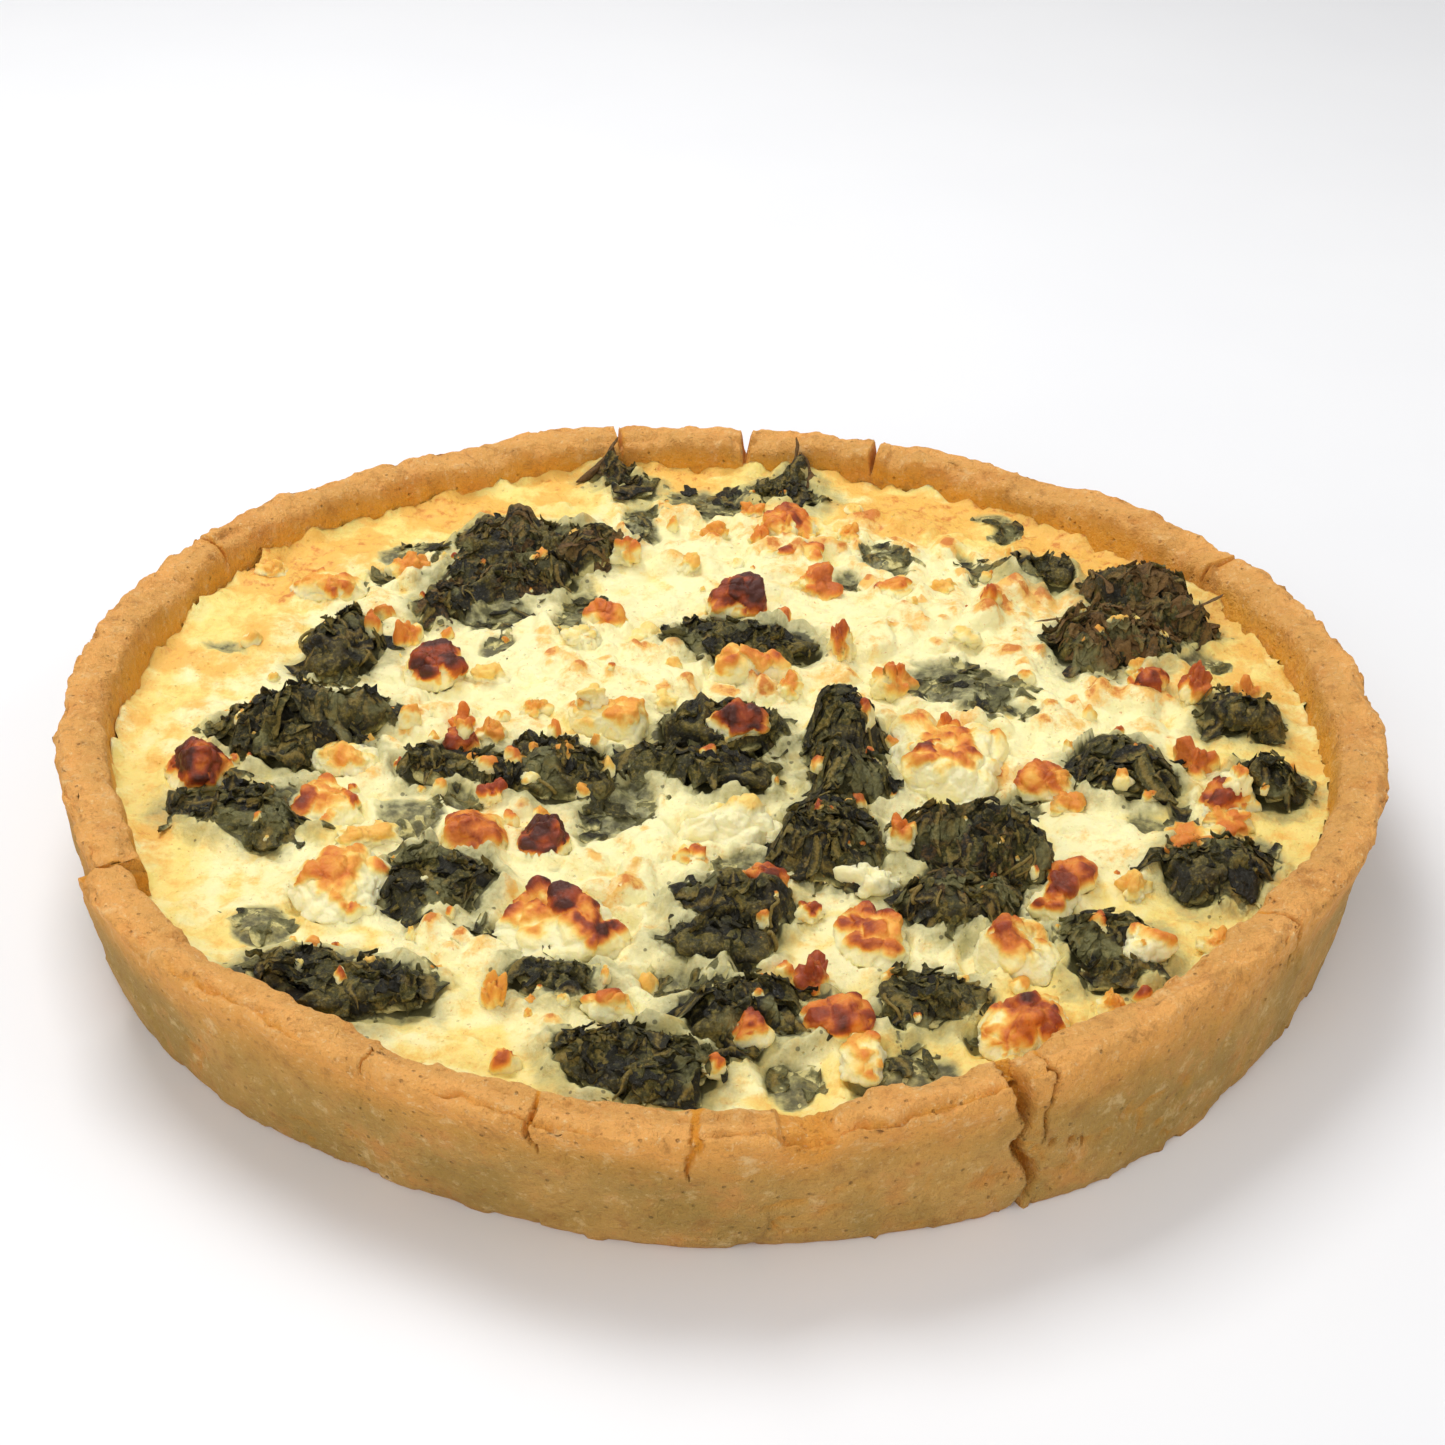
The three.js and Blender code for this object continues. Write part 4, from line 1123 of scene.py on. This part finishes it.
# roasted crumbs
crumbShape = [  # x, y, width, height, roast
    (58, 52, 5, 4, 0.75), (25, 30, 6, 6, 0.75), (-70, 62, 7, 4, 0.55), (20, 61, 8, 4.4, 0.7),
    (36, 19, 9, 7, 0.7), (-38, -91, 5, 5, 0.5), (-34, -108, 4, 4.5, 0.75), (-11, -85, 4, 3, 0.4),
    (78, -52, 7, 3, 0.4), (91, -70, 8, 3.5, 0.5), (95, -10, 6, 5, 0.7), (-67, 32, 5, 4, 0.6),
    (64, 22, 4, 2.5, 0.5), (-38, 5, 6, 2.6, 0.5), (48, 62, 5, 2, 0.4), (13, 42, 4, 3.5, 0.7),
    (-59, 36, 4, 2.6, 0.6), (76, 9, 4, 4, 0.55), (90, -38, 11, 3, 0.6), (99, 18, 6, 4.5, 0.75),
    (35, -43, 5, 4, 0.65), (-74, 29, 4, 5, 0.65), (-73, 43, 4, 3, 0.6), (-100, 62, 6, 2.5, 0.4),
    (-8, 66, 5, 2.5, 0.4), (-48, 16, 6, 2.4, 0.35), (-16, 36, 7, 2.2, 0.25), (-2, 84, 6, 2.4, 0.5),
    (6, 96, 5, 2.2, 0.55), (-48, 87, 5, 2, 0.4), (68, -24, 6, 2.6, 0.55), (54, -33, 6, 2.6, 0.5),
    (108, 10, 6, 5, 0.6), (8, 82, 5, 3, 0.6), (14, 83, 5, 3, 0.6), (19, 81, 4, 2.6, 0.55),
    (98, -28, 9, 3, 0.65), (101, -22, 5, 3, 0.6), (18, -85, 7, 4, 0.8), (13, -80, 4, 3, 0.7),
    (-22, 68, 5, 4, 0.7), (-33, 78, 8, 2.2, 0.4), (-5, -46, 6, 3.2, 0.75), (46, 1, 5, 3.4, 0.7),
    (-12, 87, 4, 3.6, 0.5), (-67, -42, 8, 2.2, 0.4), (70, -87, 5, 3, 0.5), (76, -85, 4, 3, 0.8),
    (29, 85, 5, 2.4, 0.5), (14, 14, 5, 3, 0.55), (-100, 30, 4, 2, 0.4), (-41, 61, 4, 3, 0.55),
    (59, 69, 3, 2.4, 0.4), (-54, -74, 2, 3, 0.4), (29, -9, 4, 4, 0.8), (30, -17, 3.4, 2.4, 0.7),
    (20, -21, 4, 2.4, 0.75), (27, -30, 4.4, 2.4, 0.72), (26, -40, 3, 2, 0.76), (19, -38, 3, 2, 0.8),
    (35, -5, 4, 2.6, 0.6), (-40, -20, 4.6, 3, 0.72), (-45, -22, 4.4, 2.8, 0.6), (-36, -17, 3.6, 2.4, 0.55),
    (-43, -30, 5, 3.4, 0.82), (-39, -37, 4, 2.6, 0.7), (-34, -33, 3.6, 2.2, 0.5), (-46, -8, 6, 3, 0.55),
    (-57, -10, 3, 3, 0.45), (-54, -26, 3.4, 2, 0.5), (-31, -12, 2.6, 1.8, 0.5), (-2, -17, 4, 3, 0.74),
    (1, -110, 4, 2.6, 0.7), (9, -69, 3, 2, 0.6), (9, -84, 3, 2, 0.6), (17, -63, 5, 2.6, 0.85),
    (-64, -92, 3.4, 3, 0.75), (-71, -78, 4, 2, 0.55), (-72, -86, 2.4, 1.6, 0.3), (-60, -84, 2.2, 1.6, 0.4),
    (79, -21, 4, 2.4, 0.6), (84, -23, 3, 2, 0.62), (70, -6, 3, 2, 0.5), (36, -34, 3, 2.6, 0.6),
    (59, -51, 3, 1.8, 0.75), (84, 38, 3, 2, 0.4), (90, 44, 3, 2, 0.35), (80, 34, 3, 2, 0.5),
    (88, 30, 5, 2.4, 0.45), (86, 41, 2.6, 1.8, 0.45), (94, 38, 2.6, 1.8, 0.4), (77, 42, 2.6, 1.8, 0.5),
    (-95, -8, 3.6, 2.2, 0.6), (-70, -8, 3, 2, 0.4), (-36, 63, 2.6, 1.8, 0.5), (69, -70, 4, 2.6, 0.8),
    (44, -82, 3, 2, 0.5), (54, -83, 4, 2, 0.5), (31, -84, 3.4, 2, 0.5), (-10, 22, 4, 2, 0.4),
    (-53, -60, 2.4, 1.6, 0.1), (-93, 16, 3, 2, 0.45), (41, 50, 3, 2, 0.4), (65, 80, 3, 2, 0.4),
    (113, -12, 4, 3, 0.5), (28, -52, 8, 3.4, 0.02), (40, -12, 4, 2.2, 0.3), (3, 70, 4, 2, 0.3),
    (-26, 2, 5, 2, 0.3), (-12, 8, 6, 2.2, 0.3), (52, 38, 6, 2, 0.3), (-86, 12, 5, 2, 0.3),
    (-30, 30, 6, 2, 0.3), (30, 100, 5, 2, 0.35), (-52, -3, 5, 3.4, 0.65), (-44, 1, 4, 3, 0.5),
    (-33, -5, 4.4, 3, 0.6), (-28, 1, 4, 2.6, 0.5), (-50, -14, 4, 3, 0.65), (-30, -21, 4, 2.4, 0.5),
    (-24, -10, 4, 2.4, 0.45), (-62, -5, 4.4, 3, 0.5), (-22, -22, 3.4, 2, 0.4), (-48, -19, 3.4, 2.2, 0.55),
    (-37, -26, 3.4, 2.2, 0.6), (-26, -28, 3, 2, 0.5),
]
scatteredCrumbs = dict(count=120, width=(0.9, 2.3), tallness=(0.5, 0.9), roast=(0.35, 0.8))
crumbGrids = dict(largeFrom=5, large=(24, 40), small=(10, 16))  # rows and columns of one crumb


def crumbRings(x, y, width, height, roast, seed):
    # a small ball broken into facets and pulled out of round by curds and noise, browner towards its top
    draw = np.random.default_rng(seed)
    rows, columns = crumbGrids["large" if width >= crumbGrids["largeFrom"] else "small"]
    slope = np.linspace(-1.3, 1.45, rows)[:, None]
    ball = ballPoints(slope, ringAngles(columns))
    reach = breakFacets(ball, np.ones(ball.shape[:2]), 7, draw, (0.72, 1.0))
    reach = reach * (1.06 + 0.4 * layeredNoise(ball + seed * 1.7, 0.8, 3, seed))
    first, second, number = curdNoise(ball * width / 2 + seed * 1.3, 2.3, seed + 1)
    curds = (0.22 * number + 0.2 * ease(0, 0.35, second - first)) * (width >= crumbGrids["largeFrom"])
    reach = reach * (1 + curds)
    half = width / 2 * draw.uniform(0.8, 1.15, 2)
    up = np.where(ball[..., 2:] > 0, height, min(2.0, height))
    ground = readRaster(np.maximum(toppingTop - 0.4, custardTop - 0.3), np.array(x * 1.0), np.array(y * 1.0))
    ground = min(ground, cadBox[1][2] / mm + 0.6 - 1.15 * height)
    sizes = np.concatenate([0 * up + half[0], 0 * up + half[1], up], -1)
    rings = ball * reach[..., None] * sizes + [x, y, ground]
    high = ball[..., 2] * reach + 0.6 * layeredNoise(ball, 0.9, 3, seed + 3)
    mark = roast * (0.15 + 0.85 * ease(0.05, 0.9, high))
    return rings, rings[0].mean(0), rings[-1].mean(0), dict(roast=mark)


def scatterCrumbs():
    # little broken bits at random places, most of them near the leaf
    rule = scatteredCrumbs
    draw = np.random.default_rng(91)
    spots = draw.uniform(-112, 112, (4000, 2))
    near = readRaster(spinachAway, spots[:, 0], spots[:, 1])
    keep = (np.hypot(*spots.T) < 110) & (readRaster(fetaAway, *spots.T) > 1)
    keep = keep & (draw.uniform(0, 1, len(spots)) < np.exp(-near / 3) + 0.06)
    widths = draw.uniform(*rule["width"], rule["count"])
    return [(x, y, width, width * draw.uniform(*rule["tallness"]), draw.uniform(*rule["roast"]))
            for (x, y), width in zip(spots[keep], widths)]


crumbShells = [crumbRings(*row, 9000 + 9 * index) for index, row in enumerate(crumbShape + scatterCrumbs())]
makePiece("roastedCrumbs", crumbShells, feta)
print("crumbs made")

# floor, light and camera
studio = dict(
    floorHalf=1600, sky=0.4, aim=(0, 0, 0.02),
    floor=dict(light=(241, 241, 242), shade=(236, 236, 238), roughness=0.6, shader={}),
    lamps=[  # name, place in metres, size in metres, watts
        ("overheadSoftbox", (-0.25, 0.4, 0.85), 0.5, 6.0),
        ("frontFill", (-0.35, -0.9, 0.6), 0.8, 5.0),
        ("rightFill", (1.0, -0.1, 0.7), 0.9, 3.0),
    ],
    cameraPlace=(0, -0.45266, 0.304805), yaw=0.07, down=31.67, roll=1.73, lens=65.55,
)


def makeFloorPiece():
    # one flat square, level with the quiche's flat foot
    half = studio["floorHalf"] * mm
    mesh = bpy.data.meshes.new("floor")
    corners = [(-half, -half, 0), (half, -half, 0), (half, half, 0), (-half, half, 0)]
    mesh.from_pydata(corners, [], [(0, 1, 2, 3)])
    mesh.materials.append(makeFloor(studio["floor"]))
    placeObject("floor", mesh)


def makeLights():
    world = bpy.data.worlds.new("softRoom")
    world.use_nodes = True
    world.node_tree.nodes["Background"].inputs["Color"].default_value = (1, 1, 1, 1)
    world.node_tree.nodes["Background"].inputs["Strength"].default_value = studio["sky"]
    bpy.context.scene.world = world
    for name, place, size, watts in studio["lamps"]:
        data = bpy.data.lights.new(name, "AREA")
        data.size = size
        data.energy = watts
        lamp = placeObject(name, data)
        lamp.location = place
        aim = Vector(studio["aim"]) - lamp.location
        lamp.rotation_euler = aim.to_track_quat("-Z", "Y").to_euler()


def makeCamera():
    data = bpy.data.cameras.new("viewer")
    data.lens = studio["lens"]
    data.sensor_width = 36
    data.clip_start = 0.01
    viewer = placeObject("viewer", data)
    viewer.location = studio["cameraPlace"]
    turn = Matrix.Rotation(math.radians(-studio["yaw"]), 4, "Z")
    tip = Matrix.Rotation(math.radians(90 - studio["down"]), 4, "X")
    twist = Matrix.Rotation(math.radians(studio["roll"]), 4, "Z")
    viewer.rotation_euler = (turn @ tip @ twist).to_euler()
    bpy.context.scene.camera = viewer


makeFloorPiece()
makeLights()
makeCamera()
bpy.context.scene.view_settings.view_transform = "Standard"
print("studio made")
